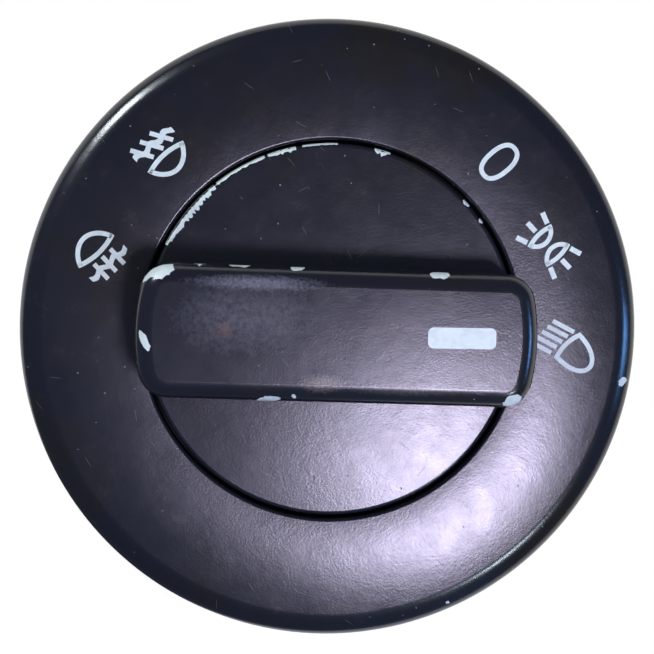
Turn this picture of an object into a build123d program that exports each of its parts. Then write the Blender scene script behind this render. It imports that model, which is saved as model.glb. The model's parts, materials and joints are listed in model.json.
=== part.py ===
from build123d import *
import os
from math import cos, degrees, hypot, radians, sin, sqrt

# Rotary headlight switch for a dashboard. The switch axis lies along Y and the face looks toward -Y.
# Heights are measured from the panel's front surface toward the driver, so a height h lies at Y = -h.
# All sizes are in millimetres and degrees.

# Shared clearances
free_gap = 0.4
slide_gap = 0.1
journal_gap = 0.08
seat_gap = 0.05

# Movements
position_step = 22.75
position_count = 3
pull_step = 3.5
pull_step_count = 2
push_travel = 3.0
release_turn = 18.0
latch_travel = 1.8

# Bezel
bezel_wall = 1.5
plate_overhang = 4.7
plate_gap = 0.3
rim_corner_height = 8.1
rim_round = 2.2
face_height = 5.4
face_dish = 0.35
lip_round = 0.8
dial_gap = 0.9
bezel_leg_angles = (60, 120, 240, 300)
bezel_leg_width = 4.0
bezel_leg_gap = 1.8
bezel_leg_thickness = 1.2
bezel_hook = 0.9
bezel_hook_depth = 1.3

# Symbol lighting
symbol_angles = {"off_led": 90, "side_light_led": 66, "low_beam_led": 42, "front_fog_led": 180, "rear_fog_led": 210}
symbol_margin = 1.1
lamp_board_thickness = 0.8
lamp_board_tab_width = 6.0
led_length = 2.0
led_width = 1.4
led_base_height = 0.35
led_lens_height = 0.2
led_lens_margin = 0.1
led_corner = 0.15
guide_thickness = 1.0
guide_width = 5.3
guide_leg_gap = 0.5
guide_margin = 12.0
guide_foot_radius = 0.9
guide_foot_angles = (54, 78, 120, 195)
link_pin_side = 0.7
link_pin_spacing = 2.54
link_pin_gap = 0.45
link_pin_tip = 0.08
link_pin_inset = 0.4

# Knob
bar_angle = 44.5
dial_height = 5.2
dial_wall = 1.5
dial_edge_round = 0.5
dial_skirt_length = 9.2
bar_overhang = 0.7
bar_width = 14.9
bar_height = 12.0
bar_corner_round = 3.4
bar_draft = 0.5
bar_top_round = 2.0
boss_wall = 1.35
boss_end_height = 0.6
rib_thickness = 1.2
lug_length = 1.5
lug_angle = 8.0

# Shaft
shaft_side = 6.0
shaft_chamfer = 0.5
groove_depth = 0.6
clip_thickness = 0.6
clip_width = 2.7
clip_opening = 0.85
shaft_tip = 1.0
socket_depth = 13.0
hairpin_wire = 0.8
hairpin_depth = 1.7

# Panel collar
panel_land_length = 3.0
collar_relief = 0.3
collar_wall = 1.6
collar_length = 12.5
plate_thickness = 1.6
keyway_width = 4.0
keyway_depth = 0.8
peg_radius = 0.9
peg_height = 0.3
peg_margin = 0.6
peg_angles = (15, 165, 240, 300)

# Release ring and latches
ring_wall = 1.0
ring_plate_thickness = 1.8
ear_start = -11.0
ear_end = 24.0
dog_angle = 8.0
dog_reach = 1.7
latch_angles = {"latch_right": 0, "latch_left": 180}
latch_post_radius = 0.9
latch_ear_margin = 0.8
latch_slot_wall = 0.3
latch_width = 9.0
latch_tongue_width = 8.0
latch_reach = 1.6
latch_body_depth = 2.0
latch_body_inset = 0.8
latch_root = 1.0
latch_ramp = 3.3
latch_bevel = 0.7
release_spring_coil = 1.0
release_spring_wire = 0.4
release_spring_sweep = 30.0
release_spring_turns = 7
spring_end_inset = 1.2
spring_post_angle = 4.0
spring_post_reach = 1.2

# Barrel
barrel_step = 0.9
barrel_wall = 1.5
floor_depth = 9.0
floor_thickness = 1.5
bearing_wall = 1.6
cover_thickness = 1.6
cover_tab_angles = (45, 135, 225, 315)
cover_tab_width = 8.0
cover_tab_length = 7.0
cover_tab_thickness = 1.3
cover_window_start = 3.0
cover_window_length = 2.2
cover_hook_length = 2.0
cover_bevel = 0.5
catch_window_front = 0.8
catch_window_back = 1.1
catch_depth = 0.5
barrel_rib_width = 1.4
barrel_rib_height = 0.7
barrel_rib_angles = (22.5, 67.5, 112.5, 157.5, 202.5, 247.5, 292.5, 337.5)
board_post_width = 4.0
guide_rib_width = 2.0
guide_rib_reach = 3.5
ring_rib_wall = 1.0
ring_rib_height = 2.5
ring_rib_arcs = ((16, 164), (196, 262), (278, 344))
latch_guide_wall = 1.2
latch_guide_height = 4.0
root_overlap = 0.5
cut_margin = 1.0

# Rotor
hub_wall = 5.0
disc_margin = 1.2
disc_thickness = 2.0
notch_radius = 1.6
notch_depth = 0.7
nose_arc = 140.0
leaf_knee = 3.4
detent_angle = 90.0
push_spring_wire = 0.7
push_spring_turns = 5
bridge_thickness = 0.3
bridge_start = 100.0
bridge_end = 160.0
rivet_radius = 0.9
rivet_angles = (115, 130, 145)
rotor_collar = 1.0

# Contact board
board_thickness = 1.6
board_gap = 2.0
track_thickness = 0.2
track_width = 1.4
track_names = ("inner_contact_track", "middle_contact_track", "outer_contact_track")
track_margin = 2.1
track_pitch = 2.4
track_start = -20.0
track_end = 200.0
stake_radius = 1.0
stake_head = 0.6
stake_head_margin = 0.5

# Detent leaf
leaf_thickness = 0.4
leaf_width = 3.0
leaf_rise = 3.6
leaf_room = 5.1
leaf_end_margin = 1.1
leaf_post_width = 2.4
leaf_post_depth = 2.6

# Fog carriage and its contacts
carriage_thickness = 2.6
carriage_hub_wall = 3.6
carriage_arm_width = 12.0
carriage_end_radius = 2.5
rail_x = 5.0
rail_margin = 7.0
rail_width = 2.4
rail_thickness = 0.6
fog_bridge_thickness = 0.3
fog_finger_reach = 1.8
fog_finger_half = 0.8
fog_finger_lift = 0.2

# Connector
terminal_columns = 5
terminal_rows = 2
terminal_pitch = 5.0
terminal_row_pitch = 6.0
terminal_width = 2.8
terminal_thickness = 0.8
terminal_stem_width = 1.4
terminal_tip = 0.3
terminal_short = 1.8
connector_hub_gap = 3.5
connector_wall = 1.4
connector_margin = 2.6
connector_depth = 10.0
connector_corner = 1.5
connector_key_width = 2.0
connector_key_height = 1.0
connector_lug_width = 6.0
connector_lug_height = 1.2
connector_lug_start = 3.0
connector_lug_flat = 1.0
connector_lug_ramp = 2.5
cover_rib_width = 1.2
cover_rib_height = 1.2
cover_rib_angles = (20, 55, 90, 125, 160)
cover_rim_width = 1.6
cover_boss_radius = 6.0

# Radii worked out from the shaft outward
journal_radius = shaft_side / 2 - slide_gap
groove_radius = journal_radius - groove_depth
clip_radius = groove_radius + clip_width
boss_radius = hypot(shaft_side / 2, shaft_side / 2) + boss_wall
push_spring_radius = hypot(shaft_side / 2, shaft_side / 2) + push_spring_wire / 2 + free_gap
carriage_hub_radius = journal_radius + carriage_hub_wall
hub_radius = shaft_side / 2 + hub_wall
first_track = hub_radius + track_margin + track_width / 2
track_radii = {name: first_track + index * track_pitch for index, name in enumerate(track_names)}
disc_radius = max(track_radii.values()) + track_width / 2 + disc_margin
leaf_seat_z = disc_radius - notch_depth + leaf_rise
barrel_inner_radius = leaf_seat_z + leaf_room
leaf_post_top = leaf_seat_z + leaf_post_depth / 2
leaf_half_length = sqrt(barrel_inner_radius**2 - leaf_post_top**2) - leaf_post_width
rail_z = barrel_inner_radius - rail_margin
barrel_radius = barrel_inner_radius + barrel_wall
collar_inner_radius = barrel_radius + barrel_step
collar_radius = collar_inner_radius + collar_wall
collar_rear_radius = collar_radius - collar_relief
plate_radius = collar_radius + plate_overhang
bezel_inner_radius = plate_radius + plate_gap
bezel_radius = bezel_inner_radius + bezel_wall
peg_circle_radius = plate_radius - peg_margin - peg_radius
ear_radius = collar_inner_radius - slide_gap
latch_post_circle = ear_radius - latch_ear_margin - slide_gap - latch_post_radius
latch_tip_radius = collar_radius + latch_reach
release_spring_radius = collar_inner_radius - free_gap - 2 * release_spring_coil
ring_outer_radius = latch_post_circle - latch_travel - latch_post_radius - latch_slot_wall
ring_inner_radius = ring_outer_radius - ring_wall
dial_radius = ring_inner_radius - free_gap
bore_radius = dial_radius + dial_gap
bar_length = 2 * (dial_radius + bar_overhang)
bezel_leg_radius = ring_outer_radius + bezel_leg_gap
bezel_leg_outer = bezel_leg_radius + bezel_leg_thickness
lamp_board_inner_radius = bezel_leg_outer + bezel_hook
symbol_radius = lamp_board_inner_radius + symbol_margin
guide_inner_radius = bezel_leg_outer + guide_leg_gap
guide_outer_radius = guide_inner_radius + guide_width
link_pin_radius = ring_outer_radius + link_pin_gap + link_pin_side / 2
connector_z = -(hub_radius + connector_hub_gap + (terminal_rows - 1) * terminal_row_pitch / 2)

# Heights worked out from the front backward
pull_travel = pull_step * pull_step_count
lamp_board_top = plate_thickness + lamp_board_thickness
led_top = lamp_board_top + led_base_height + led_lens_height
guide_bottom = led_top + seat_gap
bezel_skirt_end = lamp_board_top + 2 * slide_gap
dial_inside = dial_height - dial_wall
skirt_end = dial_height - dial_skirt_length
lug_end = skirt_end - lug_length
bar_top = dial_height + bar_height
floor_front = -floor_depth
floor_back = floor_front - floor_thickness
bearing_back = floor_back - floor_thickness + slide_gap
disc_front = bearing_back - slide_gap
disc_back = disc_front - disc_thickness
board_face = disc_back - board_gap
board_back = board_face - board_thickness
rotor_front = floor_front + rotor_collar
rotor_back = board_back + 2 * free_gap
carriage_front = board_back - pull_travel - free_gap
carriage_back = carriage_front - carriage_thickness
clip_front = carriage_back - slide_gap
shaft_end = clip_front - clip_thickness - shaft_tip
cover_front = shaft_end - push_travel - free_gap
cover_back = cover_front - cover_thickness
connector_end = cover_back - connector_depth
hairpin_height = rotor_front - hairpin_depth
ring_front = -free_gap
ring_plate_back = ring_front - ring_plate_thickness
ring_back = floor_front + 2 * slide_gap
latch_front = ring_plate_back - free_gap
latch_back = ring_back


def turned_plane(height, angle):
    """Plane square to the axis at this height, its local x turned to this angle as seen from the front."""
    return Plane(
        origin=(0, -height, 0),
        x_dir=(cos(radians(angle)), 0, sin(radians(angle))),
        z_dir=(0, -1, 0),
    )


def face_plane(height):
    """Plane square to the axis, local x to the right and local y up as seen from the front."""
    return turned_plane(height, 0)


def section_plane(angle):
    """Plane through the axis at this angle, local x outward and local y toward the front."""
    return Plane(
        origin=(0, 0, 0),
        x_dir=(cos(radians(angle)), 0, sin(radians(angle))),
        z_dir=(sin(radians(angle)), 0, -cos(radians(angle))),
    )


def polar(radius, angle):
    """Point in a face plane."""
    return (radius * cos(radians(angle)), radius * sin(radians(angle)))


def ring(outer, inner, low, high, mode=Mode.ADD):
    """Ring or disc between two heights."""
    with BuildSketch(face_plane(low)) as outline:
        Circle(outer)
        if inner > 0:
            Circle(inner, mode=Mode.SUBTRACT)
    extrude(outline.sketch, amount=high - low, mode=mode)


def sector(outer, inner, start, end, low, high, mode=Mode.ADD):
    """Part of a ring between two angles and two heights."""
    with BuildSketch(face_plane(low)) as outline:
        with BuildLine():
            CenterArc((0, 0), outer, start, end - start)
            CenterArc((0, 0), inner, start, end - start)
            Line(polar(inner, start), polar(outer, start))
            Line(polar(inner, end), polar(outer, end))
        make_face()
    extrude(outline.sketch, amount=high - low, mode=mode)


def block(near, far, width, angle, low, high, mode=Mode.ADD):
    """Straight-sided block that reaches out from the axis between two radii."""
    with BuildSketch(turned_plane(low, angle)) as outline:
        with Locations(((near + far) / 2, 0)):
            Rectangle(far - near, width)
    extrude(outline.sketch, amount=high - low, mode=mode)


def profile_block(points, width, angle, mode=Mode.ADD):
    """Block with this outline in the section plane, centred on it."""
    with BuildSketch(section_plane(angle)) as outline:
        with BuildLine():
            Polyline(*points, close=True)
        make_face()
    extrude(outline.sketch, amount=width / 2, both=True, mode=mode)


def post(radius, centre, low, high, mode=Mode.ADD):
    """Round post that stands on a face plane."""
    with BuildSketch(face_plane(low)) as outline:
        with Locations(centre):
            Circle(radius)
    extrude(outline.sketch, amount=high - low, mode=mode)


def face_at(radius):
    """Height of the straight line from the bezel's lip to its rim corner."""
    share = (radius - bore_radius) / (bezel_radius - bore_radius)
    return face_height + share * (rim_corner_height - face_height)


os.makedirs("parts", exist_ok=True)


def save(builder, name):
    """Labels a finished piece and writes its file."""
    builder.part.label = name
    export_step(builder.part, "parts/" + name + ".step")


# Bezel: dished front ring, open at the back, with four snap legs
with BuildPart() as bezel:
    with BuildSketch(section_plane(0)) as bezel_section:
        with BuildLine():
            rim_corner = (bezel_radius, rim_corner_height)
            lip_corner = (bore_radius, face_height)
            face_middle = (bore_radius + bezel_radius) / 2
            Line((bezel_radius, 0), rim_corner)
            ThreePointArc(rim_corner, (face_middle, face_at(face_middle) - face_dish), lip_corner)
            Polyline(
                lip_corner,
                (bore_radius, bezel_skirt_end),
                (bore_radius + bezel_wall, bezel_skirt_end),
                (bore_radius + bezel_wall, 0),
                (bezel_radius, 0),
            )
        make_face()
        fillet(bezel_section.vertices().sort_by(Axis.Y)[-1], rim_round)
        fillet(bezel_section.vertices().group_by(Axis.X)[0].sort_by(Axis.Y)[-1], lip_round)
    revolve(bezel_section.sketch, axis=Axis.Y)
    with BuildSketch(section_plane(0)) as bezel_hollow:
        skirt_radius = bore_radius + bezel_wall
        inner_low = (skirt_radius, face_at(skirt_radius) - bezel_wall)
        inner_high = (bezel_inner_radius, face_at(bezel_inner_radius) - bezel_wall - face_dish)
        with BuildLine():
            hollow_middle = (skirt_radius + bezel_inner_radius) / 2
            ThreePointArc(
                inner_low,
                (hollow_middle, face_at(hollow_middle) - bezel_wall - face_dish),
                inner_high,
            )
            Line(inner_high, (inner_high[0], 0))
            Line((inner_high[0], 0), (inner_low[0], 0))
            Line((inner_low[0], 0), inner_low)
        make_face()
    revolve(bezel_hollow.sketch, axis=Axis.Y, mode=Mode.SUBTRACT)
    leg_top = face_at(bezel_leg_radius) - face_dish - bezel_wall / 2
    hook_back = -seat_gap - bezel_hook_depth
    for angle in bezel_leg_angles:
        profile_block(
            [
                (bezel_leg_radius, leg_top),
                (bezel_leg_outer, leg_top),
                (bezel_leg_outer, -seat_gap),
                (bezel_leg_outer + bezel_hook, -seat_gap),
                (bezel_leg_outer, hook_back),
                (bezel_leg_radius, hook_back),
            ],
            bezel_leg_width,
            angle,
        )
save(bezel, "bezel")

# Light guide: clear ring sector that spreads the lamps' light behind the symbols
guide_start = min(symbol_angles.values()) - guide_margin
guide_end = max(symbol_angles.values()) + guide_margin
with BuildPart() as light_guide:
    sector(
        guide_outer_radius,
        guide_inner_radius,
        guide_start,
        guide_end,
        guide_bottom,
        guide_bottom + guide_thickness,
    )
    for angle in guide_foot_angles:
        post(
            guide_foot_radius,
            polar((guide_inner_radius + guide_outer_radius) / 2, angle),
            lamp_board_top,
            guide_bottom + guide_thickness / 2,
        )
save(light_guide, "light_guide")

# Lamp board: ring-shaped circuit board with a tab for the link pins
with BuildPart() as lamp_board:
    lamp_board_radius = plate_radius - 3 * slide_gap
    ring(lamp_board_radius, lamp_board_inner_radius, plate_thickness, lamp_board_top)
    block(
        link_pin_radius - link_pin_side,
        lamp_board_inner_radius + cut_margin,
        lamp_board_tab_width,
        -90,
        plate_thickness,
        lamp_board_top,
    )
    for angle in peg_angles:
        post(
            peg_radius + slide_gap,
            polar(peg_circle_radius, angle),
            plate_thickness,
            lamp_board_top,
            mode=Mode.SUBTRACT,
        )
    with BuildSketch(face_plane(plate_thickness)) as link_holes:
        with Locations((0, -link_pin_radius)):
            with GridLocations(link_pin_spacing, 1, 2, 1):
                Rectangle(link_pin_side, link_pin_side)
    extrude(link_holes.sketch, amount=lamp_board_thickness, mode=Mode.SUBTRACT)
save(lamp_board, "lamp_board")

# Symbol lamps: small packages with a domed lens, one under each symbol
for lamp_name, angle in symbol_angles.items():
    with BuildPart() as lamp:
        with BuildSketch(turned_plane(lamp_board_top, angle)) as package:
            with Locations((symbol_radius, 0)):
                Rectangle(led_width, led_length)
        extrude(package.sketch, amount=led_base_height)
        chamfer(lamp.edges().filter_by(Axis.Y), led_corner)
        post(led_width / 2 - led_lens_margin, polar(symbol_radius, angle), lamp_board_top, led_top)
        fillet(lamp.faces().sort_by(Axis.Y)[0].edges(), led_lens_height * 0.9)
    save(lamp, lamp_name)

# Link pins between the contact board and the lamp board
for index in range(2):
    with BuildPart() as link_pin:
        with BuildSketch(face_plane(board_face - link_pin_inset)) as pin_outline:
            with Locations(((index - 0.5) * link_pin_spacing, -link_pin_radius)):
                Rectangle(link_pin_side, link_pin_side)
        extrude(pin_outline.sketch, amount=lamp_board_top + slide_gap - board_face + link_pin_inset)
        chamfer(link_pin.faces().sort_by(Axis.Y)[0].edges(), link_pin_tip)
    save(link_pin, "lamp_link_pin_" + str(index + 1))

# Collar housing: plate behind the bezel and the collar that passes through the panel
window_front = -panel_land_length - slide_gap
with BuildPart() as collar_housing:
    ring(plate_radius, ring_outer_radius - slide_gap, 0, plate_thickness)
    ring(collar_radius, collar_inner_radius, -panel_land_length, 0)
    ring(collar_rear_radius, collar_inner_radius, -collar_length, -panel_land_length)
    for angle in latch_angles.values():
        block(
            collar_inner_radius - cut_margin,
            collar_radius + cut_margin,
            latch_tongue_width + 6 * slide_gap,
            angle,
            latch_back - slide_gap,
            window_front,
            mode=Mode.SUBTRACT,
        )
    for angle in bezel_leg_angles:
        block(
            bezel_leg_radius - 2 * slide_gap,
            bezel_leg_outer + 2 * slide_gap,
            bezel_leg_width + 4 * slide_gap,
            angle,
            0,
            plate_thickness,
            mode=Mode.SUBTRACT,
        )
        block(
            collar_inner_radius - cut_margin,
            collar_radius + cut_margin,
            cover_tab_width,
            angle,
            floor_back - catch_window_back,
            floor_front - catch_window_front,
            mode=Mode.SUBTRACT,
        )
    block(
        collar_radius - keyway_depth,
        collar_radius + cut_margin,
        keyway_width,
        -90,
        -collar_length,
        0,
        mode=Mode.SUBTRACT,
    )
    block(
        link_pin_radius - link_pin_side,
        link_pin_radius + link_pin_side,
        link_pin_spacing + 2 * link_pin_side,
        -90,
        0,
        plate_thickness,
        mode=Mode.SUBTRACT,
    )
    for angle in peg_angles:
        post(peg_radius, polar(peg_circle_radius, angle), plate_thickness, lamp_board_top + peg_height)
    sector(
        release_spring_radius + spring_post_reach,
        release_spring_radius - spring_post_reach,
        ear_start - release_spring_sweep - spring_post_angle,
        ear_start - release_spring_sweep,
        latch_front - slide_gap,
        0,
    )
save(collar_housing, "collar_housing")

# Release ring: cam ring with a spiral slot for each latch and two drive dogs
with BuildPart() as release_ring:
    ring(ring_outer_radius, ring_inner_radius, ring_back, ring_front)
    ring_middle = (ring_outer_radius + ring_inner_radius) / 2
    for angle in latch_angles.values():
        sector(ear_radius, ring_middle, angle + ear_start, angle + ear_end, ring_plate_back, ring_front)
        with BuildSketch(face_plane(ring_plate_back)) as cam_slot:
            with BuildLine():
                cam_path = ThreePointArc(
                    polar(latch_post_circle, angle),
                    polar(latch_post_circle - latch_travel / 2, angle + release_turn / 2),
                    polar(latch_post_circle - latch_travel, angle + release_turn),
                )
            SlotArc(cam_path, 2 * (latch_post_radius + slide_gap))
        extrude(cam_slot.sketch, amount=ring_plate_thickness, mode=Mode.SUBTRACT)
    lug_stop = bar_angle + 90 + position_step * (position_count - 1) - lug_angle / 2 - 1
    for angle in (lug_stop, lug_stop + 180):
        sector(
            ring_middle,
            ring_inner_radius - dog_reach,
            angle - dog_angle,
            angle,
            ring_back + 2 * slide_gap,
            lug_end - 4 * free_gap,
        )
save(release_ring, "release_ring")

# Panel latches: sliding tongues with a post in the cam slot
for latch_name, angle in latch_angles.items():
    body_inner = latch_post_circle - latch_body_inset
    body_outer = body_inner + latch_body_depth
    with BuildPart() as latch:
        block(body_inner, body_outer, latch_width, angle, latch_back, latch_front)
        profile_block(
            [
                (body_outer - latch_root, latch_back + slide_gap),
                (collar_rear_radius, latch_back + slide_gap),
                (latch_tip_radius + slide_gap, latch_back + slide_gap + latch_ramp),
                (latch_tip_radius + slide_gap, window_front - slide_gap - latch_bevel),
                (collar_radius, window_front - slide_gap),
                (body_outer - latch_root, window_front - slide_gap),
            ],
            latch_tongue_width,
            angle,
        )
        ring(latch_tip_radius, 0, latch_back, latch_front, mode=Mode.INTERSECT)
        post(
            latch_post_radius,
            polar(latch_post_circle, angle),
            latch_front,
            ring_front - 2 * slide_gap,
        )
    save(latch, latch_name)

# Release spring: coil between the ring's ear and the housing post
spring_start = Vector(*polar(release_spring_radius, ear_start - spring_end_inset))
spring_finish = Vector(*polar(release_spring_radius, ear_start - release_spring_sweep + spring_end_inset))
spring_line = spring_finish - spring_start
spring_height = (ring_front + latch_front) / 2 - slide_gap
with BuildPart() as release_spring:
    with BuildLine() as coil:
        Helix(
            pitch=(spring_line.length - release_spring_wire) / release_spring_turns,
            height=spring_line.length - release_spring_wire,
            radius=release_spring_coil,
            center=(
                spring_start.X + spring_line.normalized().X * release_spring_wire / 2,
                -spring_height,
                spring_start.Y + spring_line.normalized().Y * release_spring_wire / 2,
            ),
            direction=(spring_line.X, 0, spring_line.Y),
        )
    with BuildSketch(Plane(origin=coil.line @ 0, z_dir=coil.line % 0)):
        Circle(release_spring_wire / 2)
    sweep()
save(release_spring, "release_spring")

# Knob: dial with its skirt and the hollow bar grip, one moulding
with BuildPart() as knob:
    ring(dial_radius, 0, dial_inside, dial_height)
    fillet(knob.faces().sort_by(Axis.Y)[0].edges(), dial_edge_round)
    ring(dial_radius, dial_radius - dial_wall, skirt_end, dial_inside)
    with BuildSketch(turned_plane(dial_height - dial_edge_round, bar_angle)) as bar_outline:
        Circle(bar_length / 2)
        Rectangle(bar_length, bar_width, mode=Mode.INTERSECT)
        fillet(bar_outline.vertices(), bar_corner_round)
    extrude(bar_outline.sketch, amount=bar_height + dial_edge_round, taper=bar_draft)
    fillet(knob.faces().sort_by(Axis.Y)[0].edges(), bar_top_round)
    with BuildSketch(turned_plane(dial_inside, bar_angle)) as bar_hollow:
        Circle(bar_length / 2 - dial_wall)
        Rectangle(bar_length, bar_width - 2 * dial_wall, mode=Mode.INTERSECT)
        fillet(bar_hollow.vertices(), bar_corner_round - dial_wall)
    extrude(
        bar_hollow.sketch,
        amount=bar_top - dial_wall - dial_inside,
        taper=bar_draft,
        mode=Mode.SUBTRACT,
    )
    with BuildSketch(turned_plane(dial_inside, bar_angle)) as bar_rib:
        Rectangle(bar_length - 2 * dial_wall, rib_thickness)
    extrude(bar_rib.sketch, amount=bar_top - dial_wall - dial_inside)
    ring(boss_radius, 0, boss_end_height, bar_top - dial_wall)
    with BuildSketch(turned_plane(boss_end_height, bar_angle)) as socket:
        Rectangle(shaft_side + 2 * seat_gap, shaft_side + 2 * seat_gap)
    extrude(socket.sketch, amount=socket_depth, mode=Mode.SUBTRACT)
    for angle in (bar_angle + 90, bar_angle + 270):
        sector(
            dial_radius,
            dial_radius - dial_wall,
            angle - lug_angle / 2,
            angle + lug_angle / 2,
            lug_end,
            skirt_end,
        )
save(knob, "knob")

# Shaft: square, pressed in the knob, with pull-out notches and a round rear journal
with BuildPart() as shaft:
    with BuildSketch(turned_plane(carriage_front + slide_gap, bar_angle)) as shaft_outline:
        Rectangle(shaft_side, shaft_side)
        chamfer(shaft_outline.vertices(), shaft_chamfer)
    shaft_front = boss_end_height + socket_depth - slide_gap
    extrude(shaft_outline.sketch, amount=shaft_front - carriage_front - slide_gap)
    ring(journal_radius, 0, shaft_end, carriage_front + slide_gap)
    chamfer(shaft.faces().sort_by(Axis.Y)[-1].edges(), shaft_chamfer)
    chamfer(shaft.faces().sort_by(Axis.Y)[0].edges(), shaft_chamfer)
    ring(
        journal_radius + cut_margin,
        groove_radius,
        clip_front - clip_thickness - seat_gap,
        clip_front + seat_gap,
        mode=Mode.SUBTRACT,
    )
    with BuildSketch(section_plane(bar_angle + 90)) as pull_notches:
        for step in range(pull_step_count + 1):
            with Locations(
                (-shaft_side / 2, hairpin_height - step * pull_step),
                (shaft_side / 2, hairpin_height - step * pull_step),
            ):
                Circle(hairpin_wire / 2 + seat_gap)
    extrude(pull_notches.sketch, amount=shaft_side, both=True, mode=Mode.SUBTRACT)
save(shaft, "shaft")

# Shaft clip: open ring in the journal's groove
with BuildPart() as shaft_clip:
    clip_back = clip_front - clip_thickness
    ring(clip_radius, groove_radius + seat_gap, clip_back, clip_front)
    block(
        0,
        clip_radius + cut_margin,
        2 * groove_radius * clip_opening,
        bar_angle,
        clip_back,
        clip_front,
        mode=Mode.SUBTRACT,
    )
save(shaft_clip, "shaft_clip")

# Rotor: hub with a square bore and the detent disc
with BuildPart() as rotor:
    ring(hub_radius, 0, rotor_back, rotor_front)
    ring(disc_radius, 0, disc_back, disc_front)
    with BuildSketch(turned_plane(rotor_back, bar_angle)) as rotor_bore:
        Rectangle(shaft_side + 2 * slide_gap, shaft_side + 2 * slide_gap)
    extrude(rotor_bore.sketch, amount=rotor_front - rotor_back, mode=Mode.SUBTRACT)
    for step in range(position_count):
        post(
            notch_radius,
            polar(disc_radius - notch_depth + notch_radius, detent_angle - step * position_step),
            disc_back,
            disc_front,
            mode=Mode.SUBTRACT,
        )
    slot_half = hairpin_wire / 2 + slide_gap
    with BuildSketch(turned_plane(hairpin_height - slot_half, bar_angle)) as hairpin_slot:
        Rectangle(2 * hub_radius, shaft_side + hairpin_wire + 2 * slide_gap)
    extrude(hairpin_slot.sketch, amount=2 * slot_half, mode=Mode.SUBTRACT)
save(rotor, "rotor")

# Pull detent spring: hairpin across the rotor that grips the shaft's notches
hairpin_turn_x = hub_radius - shaft_side / 2 - hairpin_wire
hairpin_tail_x = -shaft_side
with BuildPart() as pull_detent_spring:
    with BuildLine(turned_plane(hairpin_height, bar_angle)) as hairpin:
        upper = Line((hairpin_tail_x, shaft_side / 2), (hairpin_turn_x, shaft_side / 2))
        turn = RadiusArc(upper @ 1, (hairpin_turn_x, -shaft_side / 2), shaft_side / 2)
        Line(turn @ 1, (hairpin_tail_x, -shaft_side / 2))
    with BuildSketch(Plane(origin=hairpin.line @ 0, z_dir=hairpin.line % 0)):
        Circle(hairpin_wire / 2)
    sweep()
save(pull_detent_spring, "pull_detent_spring")

# Push return spring: coil around the shaft, from the rotor to the knob's boss
push_spring_length = boss_end_height - rotor_front - push_spring_wire - 2 * slide_gap
with BuildPart() as push_return_spring:
    with BuildLine() as push_coil:
        Helix(
            pitch=push_spring_length / push_spring_turns,
            height=push_spring_length,
            radius=push_spring_radius,
            center=(0, -(rotor_front + push_spring_wire / 2 + slide_gap), 0),
            direction=(0, -1, 0),
        )
    with BuildSketch(Plane(origin=push_coil.line @ 0, z_dir=push_coil.line % 0)):
        Circle(push_spring_wire / 2)
    sweep()
save(push_return_spring, "push_return_spring")

# Rotor contact bridge: spring plate with a domed rivet for each track
with BuildPart() as rotor_contact_bridge:
    bridge_inner = min(track_radii.values()) - track_width
    bridge_outer = max(track_radii.values()) + rivet_radius
    bridge_back = disc_back - bridge_thickness
    sector(bridge_outer, bridge_inner, bridge_start, bridge_end, bridge_back, disc_back)
    for radius, angle in zip(track_radii.values(), rivet_angles):
        post(rivet_radius, polar(radius, angle), board_face + track_thickness + slide_gap, bridge_back)
    fillet(rotor_contact_bridge.faces().group_by(Axis.Y)[-1].edges(), rivet_radius / 2)
save(rotor_contact_bridge, "rotor_contact_bridge")

# Terminal places in the face plane
terminal_places = [
    ((column - (terminal_columns - 1) / 2) * terminal_pitch, connector_z + (0.5 - row) * terminal_row_pitch)
    for row in range(terminal_rows)
    for column in range(terminal_columns)
]

# Contact board
with BuildPart() as contact_board:
    board_radius = barrel_inner_radius - 3 * slide_gap
    stake_circle = board_radius - 2 * stake_radius
    ring(board_radius, hub_radius + free_gap, board_back, board_face)
    for angle in cover_tab_angles:
        post(
            stake_radius + slide_gap,
            polar(stake_circle, angle),
            board_back,
            board_face,
            mode=Mode.SUBTRACT,
        )
    for angle in (0, 180):
        block(
            barrel_inner_radius - guide_rib_reach - 3 * slide_gap,
            barrel_radius,
            guide_rib_width + 6 * slide_gap,
            angle,
            board_back,
            board_face,
            mode=Mode.SUBTRACT,
        )
    with BuildSketch(face_plane(board_back)) as board_holes:
        with Locations(*terminal_places):
            Rectangle(terminal_stem_width, terminal_thickness)
        with Locations((-rail_x, rail_z), (rail_x, rail_z)):
            Rectangle(rail_width / 2, rail_thickness)
        with Locations((0, -link_pin_radius)):
            with GridLocations(link_pin_spacing, 1, 2, 1):
                Rectangle(link_pin_side, link_pin_side)
    extrude(board_holes.sketch, amount=board_thickness, mode=Mode.SUBTRACT)
save(contact_board, "contact_board")

# Contact tracks: flat arcs on the board's front face
for track_name, radius in track_radii.items():
    with BuildPart() as track:
        sector(
            radius + track_width / 2,
            radius - track_width / 2,
            track_start,
            track_end,
            board_face,
            board_face + track_thickness,
        )
    save(track, track_name)

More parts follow.
